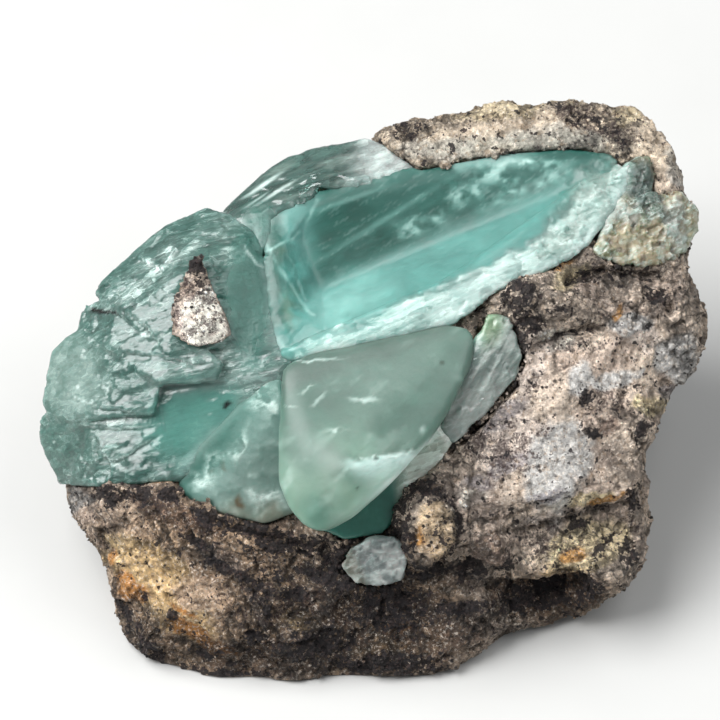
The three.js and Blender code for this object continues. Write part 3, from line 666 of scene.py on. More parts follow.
CRACKS = [  # (path, width, depth)
    ([(4.7, -3.9), (6.2, -2.4), (7.4, -1.2), (8.6, 0.2)], 0.22, 0.5),
    ([(6.8, -8.8), (8.6, -8.7), (12.2, -8.1), (13.8, -7.5), (15.4, -7.2)], 0.2, 0.3),
    ([(12.0, 6.5), (14.2, 7.0), (16.8, 6.9)], 0.4, 0.8),
    ([(9.6, 2.2), (11.4, 2.9), (13.6, 3.5)], 0.3, 0.5),
    ([(-9.6, -7.9), (-6.6, -9.0), (-3.2, -9.9), (-1.9, -11.0)], 0.4, 0.5),
    ([(4.9, -5.4), (5.4, -7.4), (5.1, -9.4), (4.0, -10.8)], 0.3, 0.5),
    ([(7.4, -12.2), (10.2, -12.3), (12.4, -12.0)], 0.6, 1.0),
]
GROOVED = [(-7.4, -13.8, 2.0, 2.0), (-12.4, -10.6, 3.0, 3.0)]  # fine parallel grooves
GROOVE_TURN = math.radians(27)  # from x to the way across the grooves
GROOVE_SPACING = 0.62
CALM = [  # even rock, with few dark clots
    (10.8, -4.2, 4.6, 3.0, 18), (9.6, -0.6, 2.6, 1.2, 30), (-10.1, 4.3, 1.8, 2.2),
    (-10.6, -11.8, 2.6, 1.4, -30), (15.0, 1.2, 3.6, 2.4), (14.0, -6.6, 1.8, 0.8, 10),
    (7.6, 15.2, 6.0, 1.2, 8), (3.7, -8.6, 1.0, 1.6), (17.4, 13.0, 1.8, 4.0), (-12.9, -12.2, 4.6, 1.3, -42),
    (9.6, 1.6, 1.6, 1.4, 40), (12.2, -6.9, 2.6, 0.7, 12),
]
WARM = [(-10.0, -12.0, 7.6, 7.0), (0.0, -14.0, 6.0, 4.6), (11.0, -12.6, 3.4, 1.6)]  # browner rock
CLUSTERS = [  # crowds of dark grains
    (12.6, 16.4, 1.8, 0.5, -14), (15.0, 14.9, 1.2, 0.5, -42), (3.6, -6.8, 1.2, 0.6), (4.6, -9.0, 1.0, 1.4),
    (2.2, 15.4, 1.2, 0.4, 10), (-10.3, 6.1, 0.8, 0.5), (-6.6, -12.0, 2.0, 1.6, -30),
    (9.6, 0.2, 0.8, 0.4, 30), (16.9, 8.6, 0.8, 1.0),
]
PEPPERED = [(-10.6, 4.6, 1.9, 2.2), (8.2, -3.6, 2.4, 1.6, 20), (13.2, 16.2, 2.8, 0.8, -24)]  # densest
PLATE = [(-10.1, 4.4, 2.2, 2.6), (10.8, -4.2, 4.6, 2.6, 18), (9.6, -0.6, 2.6, 0.9, 30)]  # smoother rock
NODULES = [  # low rounded knobs
    (3.7, -8.2, 1.9, 2.6, -10), (6.9, -9.3, 1.1, 1.0), (9.2, 5.4, 0.8, 0.9), (11.2, 4.9, 0.8, 0.6),
]
PIT_RING = (18.0, 4.7, 0.62)  # x, y and radius of a round pit with a raised rim
ROCK_VOXEL = 0.31
ROCKS = {  # node: the most loose grains on its crusts, and along its seams
    "matrix": (5200, 2600),
    "matrix_chip": (120, 60),
}
GRAIN_SIZES = {"grains": (0.05, 0.15), "seam_grains": (0.08, 0.26)}  # the smallest and the largest
SEAM_REACH = 0.9  # how far from a crystal its seam with the next mineral reaches
OUT_OF_FACE = Vector((0, 0, 1))


def tree_of(nodes):
    """One search tree over the solids of several nodes, in face millimetres."""
    corners, faces = [], []
    for node in nodes:
        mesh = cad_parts[node].data
        faces += [tuple(v + len(corners) for v in p.vertices) for p in mesh.polygons]
        corners += [Vector(p) for p in to_face(mesh_points(mesh))]
    return BVHTree.FromPolygons(corners, faces)


def finer_in_front(ob, tree):
    """Splits the faces in view from the display side, so that grains there keep their shape."""

    def in_view(face):
        outward = face.normal.z > 0 or face.normal.z > -0.2 and face.normal.y < -0.3
        return outward and tree.ray_cast(face.calc_center_median(), OUT_OF_FACE)[0] is None

    bm = bmesh.new()
    bm.from_mesh(ob.data)
    bm.normal_update()
    seen = {edge for face in bm.faces if in_view(face) for edge in face.edges}
    bmesh.ops.subdivide_edges(bm, edges=sorted(seen, key=lambda e: e.index), cuts=1, use_grid_fill=True)
    bm.to_mesh(ob.data)
    bm.free()


def nearness(points, tree):
    """How near the tree's crystals each point is (1 at their surface, 0 from SEAM_REACH on), and
    which points one of them hides from someone looking at the display face."""
    gaps = np.full(len(points), SEAM_REACH)
    hidden = np.zeros(len(points))
    for i, point in enumerate(points):
        hit = tree.find_nearest(point, SEAM_REACH)
        if hit[3] is not None:
            gaps[i] = hit[3]
        hidden[i] = tree.ray_cast(Vector(point), OUT_OF_FACE)[0] is not None
    return 1 - gaps / SEAM_REACH, hidden


def rock_relief(points):
    """Height of the rock's crags, chunks and grains at each point."""
    bent = wandering(points, 1.6, 0.5, 51)
    crags = fractal(points, 4.4, 5, 3)
    folds = 0.45 - np.abs(fractal(bent, 2.6, 4, 6)) * 2
    chunks = tilted_chunks(bent, 1.5, 5)
    bits = tilted_chunks(0.6 * points + 0.4 * bent, 0.7, 7)
    grain, grain_own, _ = cells(points, 0.36, 8)
    relief = 0.42 * crags + 0.2 * folds + 0.42 * chunks + 0.22 * bits
    relief += (0.04 + 0.14 * grain_own) * (0.7 - grain)
    across = points[:, 0] * math.cos(GROOVE_TURN) + points[:, 1] * math.sin(GROOVE_TURN)
    relief += 0.14 * most(bent, GROOVED, 0.4) * np.sin(math.tau * across / GROOVE_SPACING)
    plate = most(points, PLATE, 0.25) * (points[:, 2] > 0)
    relief *= 1 - 0.62 * plate
    for path, width, depth in CRACKS:
        relief -= depth * by_path(points, path, width) * (points[:, 2] > -2)
    x, y, radius = PIT_RING
    ring = np.hypot(points[:, 0] - x, points[:, 1] - y)
    relief += 0.3 * np.exp(-(((ring - radius) / 0.3) ** 2)) - 0.5 * np.exp(-((ring / 0.4) ** 2))
    relief += 0.35 * most(bent, NODULES, 0.4) * (points[:, 2] > 0)
    return relief - 0.12


def rock_colours(mesh, points, normals, relief):
    """The point colours that `rock_material` reads: tint, with painted light and shade in it, and tone."""
    facing = ramp(normals[:, 2], -0.25, 0.35)  # patches belong to the display side
    shifted = wandering(points, 1.3, 0.6, 21)
    frayed = 0.5 * fractal(points, 0.9, 4, 22)
    field = fractal(points, 6.0, 4, 31)
    tint = mixed(rgb(234, 214, 194), rgb(200, 180, 164), ramp(fractal(points, 2.4, 4, 23), -0.2, 0.3))
    for k, (colour, share, patches) in enumerate(ROCK_PATCHES):
        elsewhere = 0.7 * ramp(fractal(points, 4.5, 3, 41 + 5 * k), 0.16, 0.46)
        amount = facing * most(shifted, patches, 0.5) + (1 - facing) * elsewhere
        tint = mixed(tint, colour, share * ramp(amount + frayed, 0.2, 0.75))
    # painted light and shade: a little brighter to the right and in the PALE patches, darker in the SHADED
    # patches
    right = ramp(points[:, 0] - 0.3 * points[:, 1], 4.0, 9.0) * facing
    bright = 0.88 + 0.02 * right + 0.34 * most(shifted, PALE, 0.6) * facing
    bright += 0.12 * field - 0.54 * facing * most(shifted, SHADED, 0.7)
    tint = layered(
        tint,
        (rgb(216, 200, 172), 0.5 * ramp(points[:, 1], 11.0, 14.0)),
        (rgb(170, 172, 160), 0.6 * facing * most(shifted, [(9.0, 14.6, 6.0, 0.8, 2)], 0.5)),
    )
    warm = np.maximum(most(points, WARM, 0.5) * facing, 0.5 * (1 - facing))
    tint = tint * mixed((1.0, 1.0, 1.0), (0.76, 0.64, 0.51), warm)
    smoothed = relax(relief[:, None], edge_ends(mesh), 14)[:, 0]
    # painted shade: darker where the relief lies below its smoothed self, in the recesses
    recess_shade = ramp(smoothed - relief, 0.0, 0.16)
    dark = np.maximum(facing * most(shifted, CRUSTS, 0.6), 0.7 * ramp(field, 0.15, 0.5) * (1 - facing))
    dark = np.maximum(dark, 0.3 * ramp(-smoothed, 0.2, 0.5))
    dark = np.maximum(dark, 0.5 * facing * most(shifted, CLUSTERS, 0.5))
    specks = 0.16 + 0.16 * field + 0.4 * facing * most(shifted, SPECKLED, 0.6)
    specks += 0.5 * facing * most(shifted, PEPPERED, 0.6)
    calm = np.maximum(facing * most(shifted, CALM, 0.5), 0.7 * ramp(fractal(points, 3.0, 3, 33), 0.1, 0.4))
    bright = np.clip(bright, 0.25, 1.2) * (1 - (0.62 - 0.36 * calm) * recess_shade)
    return tint * bright[:, None], np.stack([specks, dark, calm * (1 - dark)], axis=1)


def grain_colours(tint, tone, dice):
    """Point colours of loose grains: each is all dark, or as pale as the rock around it."""
    dark = dice[:, 5] < 0.06 + 0.9 * tone[:, 1] + 0.15 * tone[:, 0]
    pale = tint * (0.95 + 0.3 * dice[:, 4])[:, None]
    return {"tint": pale, "tone": np.outer(dark, (0, 1.4, 0))}


def make_rock(node, material, tree):
    """The fine copy of a rock node, with loose grains on its crusts and along its seams."""
    grains, seam_grains = ROCKS[node]
    ob = remeshed_copy(node, node + "_fine", ROCK_VOXEL)
    finer_in_front(ob, tree)
    points = relax(mesh_points(ob.data), edge_ends(ob.data), 2)
    set_points(ob.data, points)
    normals = read(ob.data.vertices, "normal")
    near, hidden = nearness(points, tree)
    base = ramp(to_row(points)[:, 2] / MM, 0.05, 0.6)  # the flat base stays flat
    relief = rock_relief(points)
    tint, tone = rock_colours(ob.data, points, normals, relief)
    keep_colour(ob.data, "tint", tint)
    keep_colour(ob.data, "tone", tone)
    relief = relief * (1 - 0.5 * near) * (1 - 0.9 * hidden) + 0.16 * near
    moved = points + (base * relief)[:, None] * normals
    set_points(ob.data, moved)
    finish_piece(ob, node, material)
    in_view = (hidden < 0.5) & (normals[:, 2] > -0.2) & (base > 0.99)
    crusty = dice_for(points, 4)[:, 0] < 0.12 + 0.9 * tone[:, 1]
    loose = shuffled(points, in_view & (near < 0.6) & crusty, grains, 1)
    seams = shuffled(points, in_view & (near > 0.62) & (near < 0.86), seam_grains, 2)
    for kind, which, surface in (("grains", loose, moved), ("seam_grains", seams, points)):
        if len(which):
            places = surface[which]
            colours = grain_colours(tint[which], tone[which], dice_for(places, GRAIN_SEED))
            make_crumbs(f"{node}_{kind}", "matrix_rock", material, places, *GRAIN_SIZES[kind], colours)


# ---- the crystals ----

DEEP_TEAL = rgb(46, 110, 97)
TEAL = rgb(76, 142, 130)
AQUA = rgb(118, 196, 186)
PALE_AQUA = rgb(168, 208, 200)
WHITE_VEIL = rgb(206, 222, 217)
SEAM_HAZE_AND_LIGHT = rgb(150, 186, 178)  # pale haze where one crystal meets another: partly a whitish boundary, partly painted light over the shade in the gap

CREASE = [(-6.0, 6.6), (-3.0, 5.9), (0.1, 7.15), (3.5, 8.55), (7.0, 9.95), (12.4, 12.2), (14.4, 13.2)]
LEDGE_TOP = [(-6.0, 1.6), (-2.9, 3.2), (2.0, 5.3), (6.9, 7.3), (9.8, 9.1), (13.0, 12.0), (14.6, 13.6)]
WALL_LINES = [  # bright lines in the left end of the main crystal
    [(-6.9, 9.7), (-6.3, 8.4), (-5.0, 6.2), (-3.6, 4.3)],
    [(-6.4, 8.0), (-5.0, 8.8), (-3.9, 10.0), (-3.3, 11.3)],
    [(-5.9, 3.4), (-5.2, 2.3), (-3.8, 1.9)],
]
LEFT_STEP = [(-13.0, -0.1), (-11.4, 0.0), (-9.0, 0.4), (-5.8, 0.6)]  # top of the left crystals' floor, where a pale band of painted light lies over the step's shadow
FRACTURES = [  # cracks in the left crystals, whose white lines are partly painted highlights along edges
    [(-12.95, 0.1), (-11.4, 0.2), (-10.1, 0.5)],
    [(-16.9, -2.4), (-15.2, -2.5), (-13.4, -2.3), (-13.2, -1.5)],
    [(-16.3, -3.6), (-15.7, -4.6), (-14.6, -4.0), (-13.4, -3.2)],
    [(-14.8, 2.1), (-12.8, 1.9), (-10.7, 1.5)],
    [(-14.6, 4.4), (-13.4, 3.6), (-12.8, 2.6)],
    [(-7.6, 8.2), (-7.0, 7.4), (-5.9, 6.6)],
    [(-17.9, -0.6), (-16.4, -1.2), (-14.8, -1.4)],
    [(-13.8, 7.6), (-12.6, 7.0), (-11.8, 8.2)],
]
FLOOR_SEAM = [(-11.2, -6.0), (-9.4, -4.2), (-7.6, -1.6), (-5.8, 1.2)]  # milky crystal's upper edge


def drawn_out(points, degrees, long, wide, octaves, seed):
    """Noise whose features are `long` along a direction of the face and `wide` across it."""
    x, y = math.cos(math.radians(degrees)), math.sin(math.radians(degrees))
    turned = np.stack([
        points[:, 0] * x + points[:, 1] * y, points[:, 1] * x - points[:, 0] * y, points[:, 2],
    ], axis=1)
    return fractal(turned, np.array([long, wide, wide]), octaves, seed)


def main_crystal_looks(points):
    loose = wandering(points, 0.8, 0.5, 71)
    up = above(points, CREASE)
    ledge = ramp(-above(loose, LEDGE_TOP), -0.2, 0.4)
    # painted shade and light: the upper face is painted dark teal and the lower face bright aqua, for light
    # that falls in from above
    shaded_upper_face = ramp(up + 0.2 * fractal(points, 1.8, 3, 2), -0.5, 1.3) * ramp(points[:, 0], -4.6, -2.6)
    clouds = most(loose, [
        (2.5, 9.7, 0.9, 0.5, 10), (4.0, 10.1, 0.6, 0.4), (5.3, 11.4, 0.8, 0.55, 30), (6.4, 11.9, 0.6, 0.45),
        (7.5, 12.7, 1.3, 0.6), (9.8, 13.4, 2.2, 0.4, 2), (10.6, 12.4, 1.6, 0.5, 20),
        (8.4, 11.4, 1.4, 0.4, 20),
    ], 0.9) * ramp(fractal(points, 0.45, 3, 72), -0.5, 0.2)
    streaks = most(points, [(0.6, 10.0, 4.2, 0.16, 32), (-1.6, 11.2, 2.6, 0.12, 20)], 0.9)
    darkest = most(loose, [
        (-1.6, 9.9, 2.2, 0.9, 25), (1.4, 9.0, 2.6, 0.8, 24), (4.6, 11.0, 1.6, 0.7, 30),
    ], 0.9)
    wall = most(loose, [(-5.4, 6.4, 1.5, 3.6, 8)], 0.5)
    mottle = most(loose, [(-5.1, 4.7, 0.7, 1.0), (-5.6, 8.2, 0.4, 0.6)], 0.8)
    end = most(loose, [(13.4, 11.6, 3.2, 1.3, 50), (11.2, 8.8, 2.2, 0.8, 35)], 0.6)
    fibre = 0.5 + 0.5 * drawn_out(points, 24, 3.2, 0.3, 3, 4)
    scratched = ramp(drawn_out(points, 34, 1.6, 0.12, 3, 14), 0.25, 0.5) * shaded_upper_face
    # painted glow: a bright aqua patch on the lower face, for light shining through the crystal
    glow = most(loose, [(-1.6, 4.9, 2.6, 1.2, 25)], 0.9)
    tint = mixed(rgb(120, 182, 173), TEAL, 0.9 * shaded_upper_face)
    tint = layered(
        tint,
        (rgb(152, 206, 197), 0.7 * glow),
        (DEEP_TEAL, 0.85 * shaded_upper_face * (0.45 + 0.55 * darkest)),
        (PALE_AQUA, 0.6 * shaded_upper_face * clouds + 0.25 * shaded_upper_face * streaks + 0.3 * scratched),
    )
    sugar = mixed(rgb(140, 160, 151), rgb(104, 140, 130), ramp(fractal(points, 0.8, 3, 73), -0.1, 0.4))
    splinter = mixed(rgb(112, 164, 156), rgb(158, 184, 177), ramp(fibre, 0.25, 0.85))
    splinter = mixed(splinter, rgb(172, 184, 180), 0.5 * ramp(points[:, 0], 1.0, 7.0))
    tint = layered(
        tint,
        (splinter, ledge),
        (mixed(rgb(92, 158, 148), AQUA, ramp(fractal(points, 0.9, 3, 6), -0.2, 0.4)), 0.9 * wall),
        (rgb(112, 138, 112), 0.7 * mottle * ramp(fractal(points, 0.6, 3, 16), -0.3, 0.2)),
        (sugar, 0.8 * end),
    )
    milky = 0.45 - 0.1 * shaded_upper_face + 0.35 * shaded_upper_face * clouds + 0.15 * shaded_upper_face * streaks + 0.1 * glow
    milky = np.maximum(milky, np.maximum(0.74 * ledge, 0.6 * end))
    milky = np.maximum(milky, 0.36 * wall)
    edge = ramp(-points[:, 0], 4.9, 5.8) * ramp(points[:, 1], 2.6, 4.6)
    tint = mixed(tint, rgb(58, 116, 103), 0.85 * edge)
    brink = ramp(loose[:, 1], 12.7, 13.5) * ramp(-points[:, 0], -11.0, -8.0)
    tint = mixed(tint, rgb(158, 196, 188), 0.7 * brink)
    milky = milky + 0.2 * brink
    for path in WALL_LINES:
        split = by_path(wandering(points, 1.2, 0.25, 74), path, 0.1)
        split = split * ramp(fractal(points, 0.9, 2, 75), -0.6, 0.2)
        tint = mixed(tint, rgb(168, 208, 200), 0.6 * split)
        milky = milky + 0.16 * split
    splintered = np.maximum(0.06, 0.3 * ledge * (1 - 0.3 * end))
    rough = np.maximum(np.maximum(0.2 * ledge, 0.65 * end), 0.3 * wall)
    relief = 0.24 * ledge * (fibre - 0.5) + 0.24 * end * tilted_chunks(loose, 0.7, 9)
    relief += 0.14 * ledge * tilted_chunks(loose, np.array([1.6, 0.7, 0.7]), 10)
    relief += 0.03 * shaded_upper_face * drawn_out(points, 24, 6.0, 1.2, 3, 12)
    relief += 0.12 * wall * tilted_chunks(points, 1.1, 13)
    return tint, (milky, splintered, rough), relief


def milky_fog(points):
    """White fog that spreads from the milky crystal into the floor beside it."""
    spread = most(wandering(points, 1.4, 0.9, 83), [(-7.6, -3.6, 4.6, 2.6, 50)], 0.6)
    return spread * ramp(fractal(points, 1.6, 4, 84), -0.5, 0.3)


def left_crystals_looks(points):
    loose = wandering(points, 1.0, 0.6, 75)
    veils = most(loose, [
        (-15.4, 4.9, 1.4, 0.6, 18), (-14.6, 2.9, 1.2, 0.5, 35), (-11.0, 1.0, 2.6, 0.4, 8),
        (-15.5, -4.0, 0.4, 0.7, 20), (-16.1, -2.2, 1.6, 0.2, 5), (-12.6, 7.4, 2.2, 0.8, 35),
        (-8.4, 8.2, 0.5, 1.8, 20), (-13.0, 6.2, 2.0, 0.4, 20), (-14.0, -1.7, 1.6, 0.3, 12),
        (-17.6, -5.0, 1.6, 0.3, 10), (-9.2, 1.7, 2.2, 1.0, 10),
    ], 0.9)
    lobe = most(loose, [(-18.0, 0.6, 2.0, 2.6)], 0.5)
    toe = most(loose, [(-17.6, -3.9, 2.8, 1.7)], 0.4)
    floor = most(loose, [(-10.4, -2.0, 3.1, 2.4, 10), (-7.4, 5.0, 1.2, 3.8)], 0.4)
    grit = most(loose, [
        (-8.7, -1.1, 0.26, 0.22), (-5.7, 1.8, 0.24, 0.22), (-16.2, 4.4, 0.7, 0.16, -5),
    ], 0.5)
    crackle = drawn_out(loose, 14, 1.6, 0.45, 4, 17)
    along_run = loose @ ALONG_LEFT_RUN.T
    shards = tilted_chunks(along_run, np.array([1.7, 0.6, 0.9]), 21)
    split, step = np.zeros(len(points)), np.zeros(len(points))
    bent = wandering(points, 0.6, 0.12, 82)
    for path in FRACTURES:
        away, side = beside(bent, path)
        split = np.maximum(split, np.exp(-((away / 0.07) ** 2)))
        step += 0.1 * side * np.exp(-((away / 0.5) ** 2))
    veils = veils * (1 - 0.8 * floor) * ramp(crackle, -0.4, 0.4)
    fog = milky_fog(points)
    # painted light: a pale band along the step, over its shadow
    brink = by_path(bent, LEFT_STEP, 0.4)
    tint = mixed(rgb(122, 160, 150), rgb(92, 136, 126), ramp(crackle + 0.4 * shards, -0.2, 0.5))
    tint = layered(
        tint,
        (rgb(176, 198, 191), 0.7 * veils),
        (rgb(146, 174, 164), 0.8 * lobe),
        (rgb(124, 192, 178), floor),
    )
    panel = most(loose, [(-7.4, 5.4, 1.3, 3.8)], 0.5)
    tint = layered(
        tint,
        (rgb(70, 136, 122), 0.85 * panel),
        # painted light over the shade of the step below the chip
        (rgb(168, 204, 194), 0.7 * most(loose, [(-9.0, 2.0, 1.3, 1.1)], 0.6)),
        (rgb(124, 160, 149), 0.6 * toe),
        (rgb(128, 160, 150), 0.8 * fog),
        # white along the cracks, partly painted highlight
        (WHITE_VEIL, 0.4 * split),
        (rgb(196, 226, 218), 0.7 * brink),
        (rgb(40, 44, 40), grit),
    )
    textured = (1 - 0.9 * floor) * (1 - 0.75 * lobe) * (0.5 + 0.5 * veils)
    milky = 0.46 + 0.08 * crackle * (1 - floor) + 0.02 * floor + 0.14 * fog
    milky += 0.2 * (veils + lobe + split)
    milky = milky * (1 - grit) + 0.5 * grit
    relief = 0.12 * tilted_chunks(along_run, np.array([2.3, 0.95, 1.4]), 19) + 0.03 * shards + step
    relief *= (1 - 0.8 * floor) * (1 - 0.6 * lobe)
    return tint, (milky, 0.04 + 0.5 * textured, 0.05 + 0.2 * textured + 0.6 * panel), relief


def front_crystal_looks(points):
    loose = wandering(points, 1.2, 0.4, 76)
    tip = most(points, [(-2.6, -8.0, 4.4, 4.4)], 0.95)
    heart = most(loose, [(2.0, -1.4, 2.4, 1.1, 20), (-2.9, -7.4, 1.0, 1.1), (-3.0, -1.2, 2.0, 1.4)], 0.9)
    # painted shade: the left side and its rounded ridge are painted darker
    shaded_left_side = most(points, [(-4.6, -1.6, 1.0, 3.4, 16), (-2.4, -4.4, 2.0, 0.8, -30)], 0.7)
    rim = most(loose, [(0.1, -6.3, 1.9, 0.5, 48), (-1.0, -7.9, 1.1, 0.4, 50)], 0.8)
    # painted sheen: the small triangular facet is painted pale, as lit
    facet = ramp(above(loose, [(-1.6, -4.5), (2.8, -3.9)]), 0.25, -0.1) * ramp(
        -above(loose, [(-2.0, -3.6), (-0.5, -6.6)]), 0.5, -0.6) * ramp(points[:, 1], -6.4, -4.4)
    # painted highlights along the right edges
    edge = most(points, [(3.6, -3.0, 1.5, 0.16, 42), (1.2, -5.4, 1.6, 0.14, 40)], 0.8)
    smoke = fractal(loose, np.array([2.6, 1.4, 2.0]), 4, 23)
    wisps = ramp(drawn_out(loose, 35, 2.6, 0.7, 4, 25), 0.1, 0.5)
    # painted highlights: thin bright glints and lines on the faces
    streak = most(wandering(points, 0.3, 0.2, 85), [
        (-0.5, -0.8, 0.8, 0.14), (-3.2, -0.8, 0.5, 0.08, 40), (3.0, -2.6, 0.12, 0.24),
        (-3.4, 1.5, 1.4, 0.07, 4), (-2.2, -2.6, 0.3, 0.08, 10), (-4.8, -1.2, 0.3, 0.06, -10),
        (1.6, -4.0, 1.2, 0.07, 16), (0.0, -4.2, 0.9, 0.06, 10), (-3.9, -0.2, 0.5, 0.05, 30),
    ], 0.8)
    specks = most(points, [(0.2, -4.25, 0.14, 0.12), (4.2, 1.4, 0.16, 0.12), (-0.9, -6.0, 0.1, 0.08)], 0.6)
    tint = mixed(rgb(114, 141, 130), rgb(138, 170, 151), tip)
    tint = layered(
        tint,
        (rgb(96, 124, 112), 0.7 * shaded_left_side),
        (rgb(100, 138, 124), 0.6 * heart + 0.2 * ramp(smoke, 0.0, 0.5)),
        (rgb(146, 166, 157), 0.35 * wisps),
        (rgb(150, 166, 156), 0.4 * most(loose, [(-2.4, -5.4, 0.7, 1.6, 10)], 0.8)),
        (rgb(96, 142, 126), 0.5 * most(loose, [(-3.2, -7.6, 0.6, 1.1, 10)], 0.7)),
        # painted shade on the rounded left ridge
        (rgb(98, 128, 116), 0.6 * most(loose, [(-4.0, -3.6, 1.0, 1.6, 10)], 0.7)),
        (rgb(196, 220, 214), 0.85 * facet),
        (rgb(176, 206, 192), 0.8 * rim),
        (rgb(104, 124, 115), 0.8 * ramp(points[:, 1] - 0.35 * points[:, 0], 0.9, 2.0)),
        (rgb(200, 216, 210), np.maximum(0.5 * streak, 0.7 * edge)),
        (rgb(70, 82, 72), 0.8 * specks),
    )
    milky = 0.48 - 0.12 * heart + 0.14 * facet + 0.06 * tip - 0.08 * smoke
    milky += 0.1 * wisps + 0.2 * (streak + edge)
    milky = milky * (1 - specks) + 0.5 * specks
    return tint, (milky, 0.03 + 0.12 * facet, 0.1), 0.03 * fractal(points, 2.4, 2, 24) + 0.06


def upper_crystals_looks(points):
    streak = drawn_out(points, 30, 3.4, 0.4, 4, 27)
    # painted highlights: bright lines where the striations catch the light
    bright = most(points, [
        (-5.9, 11.6, 1.2, 0.1, 32), (-6.6, 12.1, 1.3, 0.12, 34), (-7.0, 11.2, 0.8, 0.06, 34),
    ], 0.7)
    right = ramp(points[:, 0] + 0.6 * fractal(points, 1.2, 3, 31), -2.6, 0.4)
    tint = mixed(rgb(108, 138, 130), rgb(138, 158, 150), ramp(streak, -0.1, 0.4))
    tint = layered(
        tint,
        (rgb(92, 140, 128), 0.8 * ramp(-points[:, 1], -10.4, -9.2)),
        (WHITE_VEIL, 0.8 * bright),
        (rgb(176, 180, 178), 0.8 * right),
    )
    milky = 0.3 + 0.12 * ramp(streak, 0.0, 0.5) + 0.4 * bright + 0.4 * right
    chunks = tilted_chunks(wandering(points, 1.0, 0.4, 77), np.array([2.4, 1.0, 1.2]), 28)
    relief = 0.04 * streak + 0.1 * chunks
    corner = most(points, [(-6.7, 9.2, 1.3, 1.9)], 0.5)
    tint = mixed(tint, rgb(86, 142, 130), 0.9 * corner)
    milky = milky * (1 - corner) + 0.5 * corner
    return tint, (milky, 0.16 * (1 - corner), 0.06 + 0.3 * right + 0.7 * corner), relief


def side_crystal_looks(points):
    streak = drawn_out(points, 60, 2.8, 0.4, 4, 29)
    tint = mixed(rgb(120, 134, 128), rgb(178, 188, 182), ramp(streak, -0.15, 0.35))
    tint = layered(
        tint,
        (rgb(196, 204, 198), 0.6 * ramp(-points[:, 1], -1.6, 0.8)),
        (rgb(146, 176, 136), 0.7 * most(points, [(6.9, 4.0, 0.9, 1.3)], 0.7)),
    )
    milky = 0.45 + 0.2 * streak
    relief = 0.14 * streak + 0.14 * tilted_chunks(wandering(points, 0.8, 0.5, 78), 0.8, 30)
    return tint, (milky, 0.2, 0.3), relief


def milky_crystal_looks(points):
    loose = wandering(points, 1.1, 1.0, 79)
    white = most(loose, [
        (-9.6, -4.9, 1.3, 0.6, 40), (-6.4, -0.9, 0.7, 0.9, -20), (-7.8, -3.2, 0.9, 0.4, 50),
        (-10.8, -5.4, 1.0, 0.5), (-6.6, -6.4, 1.0, 0.6),
    ], 0.8)
    rust = most(loose, [
        (-8.8, -4.7, 0.36, 0.24, -30), (-8.3, -7.0, 0.3, 0.32), (-9.6, -5.2, 0.2, 0.18),
    ], 0.6)
    sugar = fractal(loose, 0.9, 4, 33)
    fog = milky_fog(points)
    tint = mixed(rgb(84, 136, 124), rgb(108, 140, 130), ramp(-points[:, 1], 1.0, 5.0))
    tint = layered(
        tint,
        (rgb(124, 150, 141), 0.5 * ramp(sugar, 0.0, 0.4) + 0.3 * fog),
        (rgb(182, 194, 186), 0.75 * white * ramp(sugar, -0.5, 0.3)),
        (rgb(140, 138, 120), 0.7 * ramp(-loose[:, 1], 6.4, 8.0)),
        (rgb(84, 68, 22), 0.95 * rust),
    )
    clear = by_path(points, FLOOR_SEAM, 1.3)
    tint = mixed(tint, rgb(84, 142, 129), 0.8 * clear)
    wisps = ramp(fractal(loose, np.array([0.8, 0.8, 1.6]), 5, 36), -0.2, 0.5)
    milky = 0.5 + 0.3 * white * ramp(sugar, -0.4, 0.1) + 0.16 * wisps * (1 - clear)
    milky = milky * (1 - rust) + 0.5 * rust
    return tint, (milky, 0.2 * white, 0.4 + 0.3 * white), 0.07 * sugar


def lower_crystal_looks(points):
    haze = fractal(points, 1.6, 3, 35)
    right = ramp(points[:, 0] + 0.5 * haze, 1.0, 2.2)
    tint = mixed(rgb(72, 142, 125), rgb(216, 226, 212), right)
    return tint, (0.5 + 0.06 * haze + 0.2 * right, 0.3 * right, 0.2), (0.06 + 0.1 * right) * haze


def white_crystal_looks(points):
    sugar = fractal(points, 0.8, 4, 39)
    ribs = drawn_out(points, 80, 1.6, 0.25, 3, 41)
    tint = mixed(rgb(146, 156, 154), rgb(204, 208, 204), ramp(sugar + 0.6 * ribs, -0.2, 0.35))
    tint = mixed(tint, rgb(120, 108, 78), 0.6 * ramp(-points[:, 0] - 0.4 * points[:, 1], 4.6, 5.4))
    relief = 0.08 * ribs + 0.16 * tilted_chunks(points, 0.8, 40)
    return tint, (0.62 + 0.2 * sugar, 0.25, 0.7), relief


def right_crystals_looks(points):
    loose = wandering(points, 0.7, 0.5, 81)
    sugar = fractal(points, 0.7, 4, 43)
    strip = most(loose, [(16.2, 12.2, 1.0, 1.9, 20)], 0.5)
    grain, own, _ = cells(loose, 0.34, 44)
    tint = mixed(rgb(200, 186, 150), rgb(128, 130, 92), ramp(sugar + 0.5 * (own - 0.5), -0.1, 0.3))
    tint = layered(
        tint,
        (rgb(150, 158, 152), 0.7 * ramp(fractal(loose, 1.6, 3, 46), 0.05, 0.35)),
        (rgb(104, 86, 70), 0.6 * ramp(fractal(points, 0.5, 3, 47), 0.25, 0.4)),
        (rgb(120, 148, 142), 0.85 * strip),
    )
    tint = tint * (0.7 + 0.5 * own * (1 - strip))[:, None]
    relief = 0.34 * tilted_chunks(loose, 0.8, 45) + (0.06 + 0.2 * own) * (0.7 - grain)
    return tint, (0.66 - 0.2 * strip + 0.25 * sugar, 0.4, 0.55 - 0.3 * strip), relief


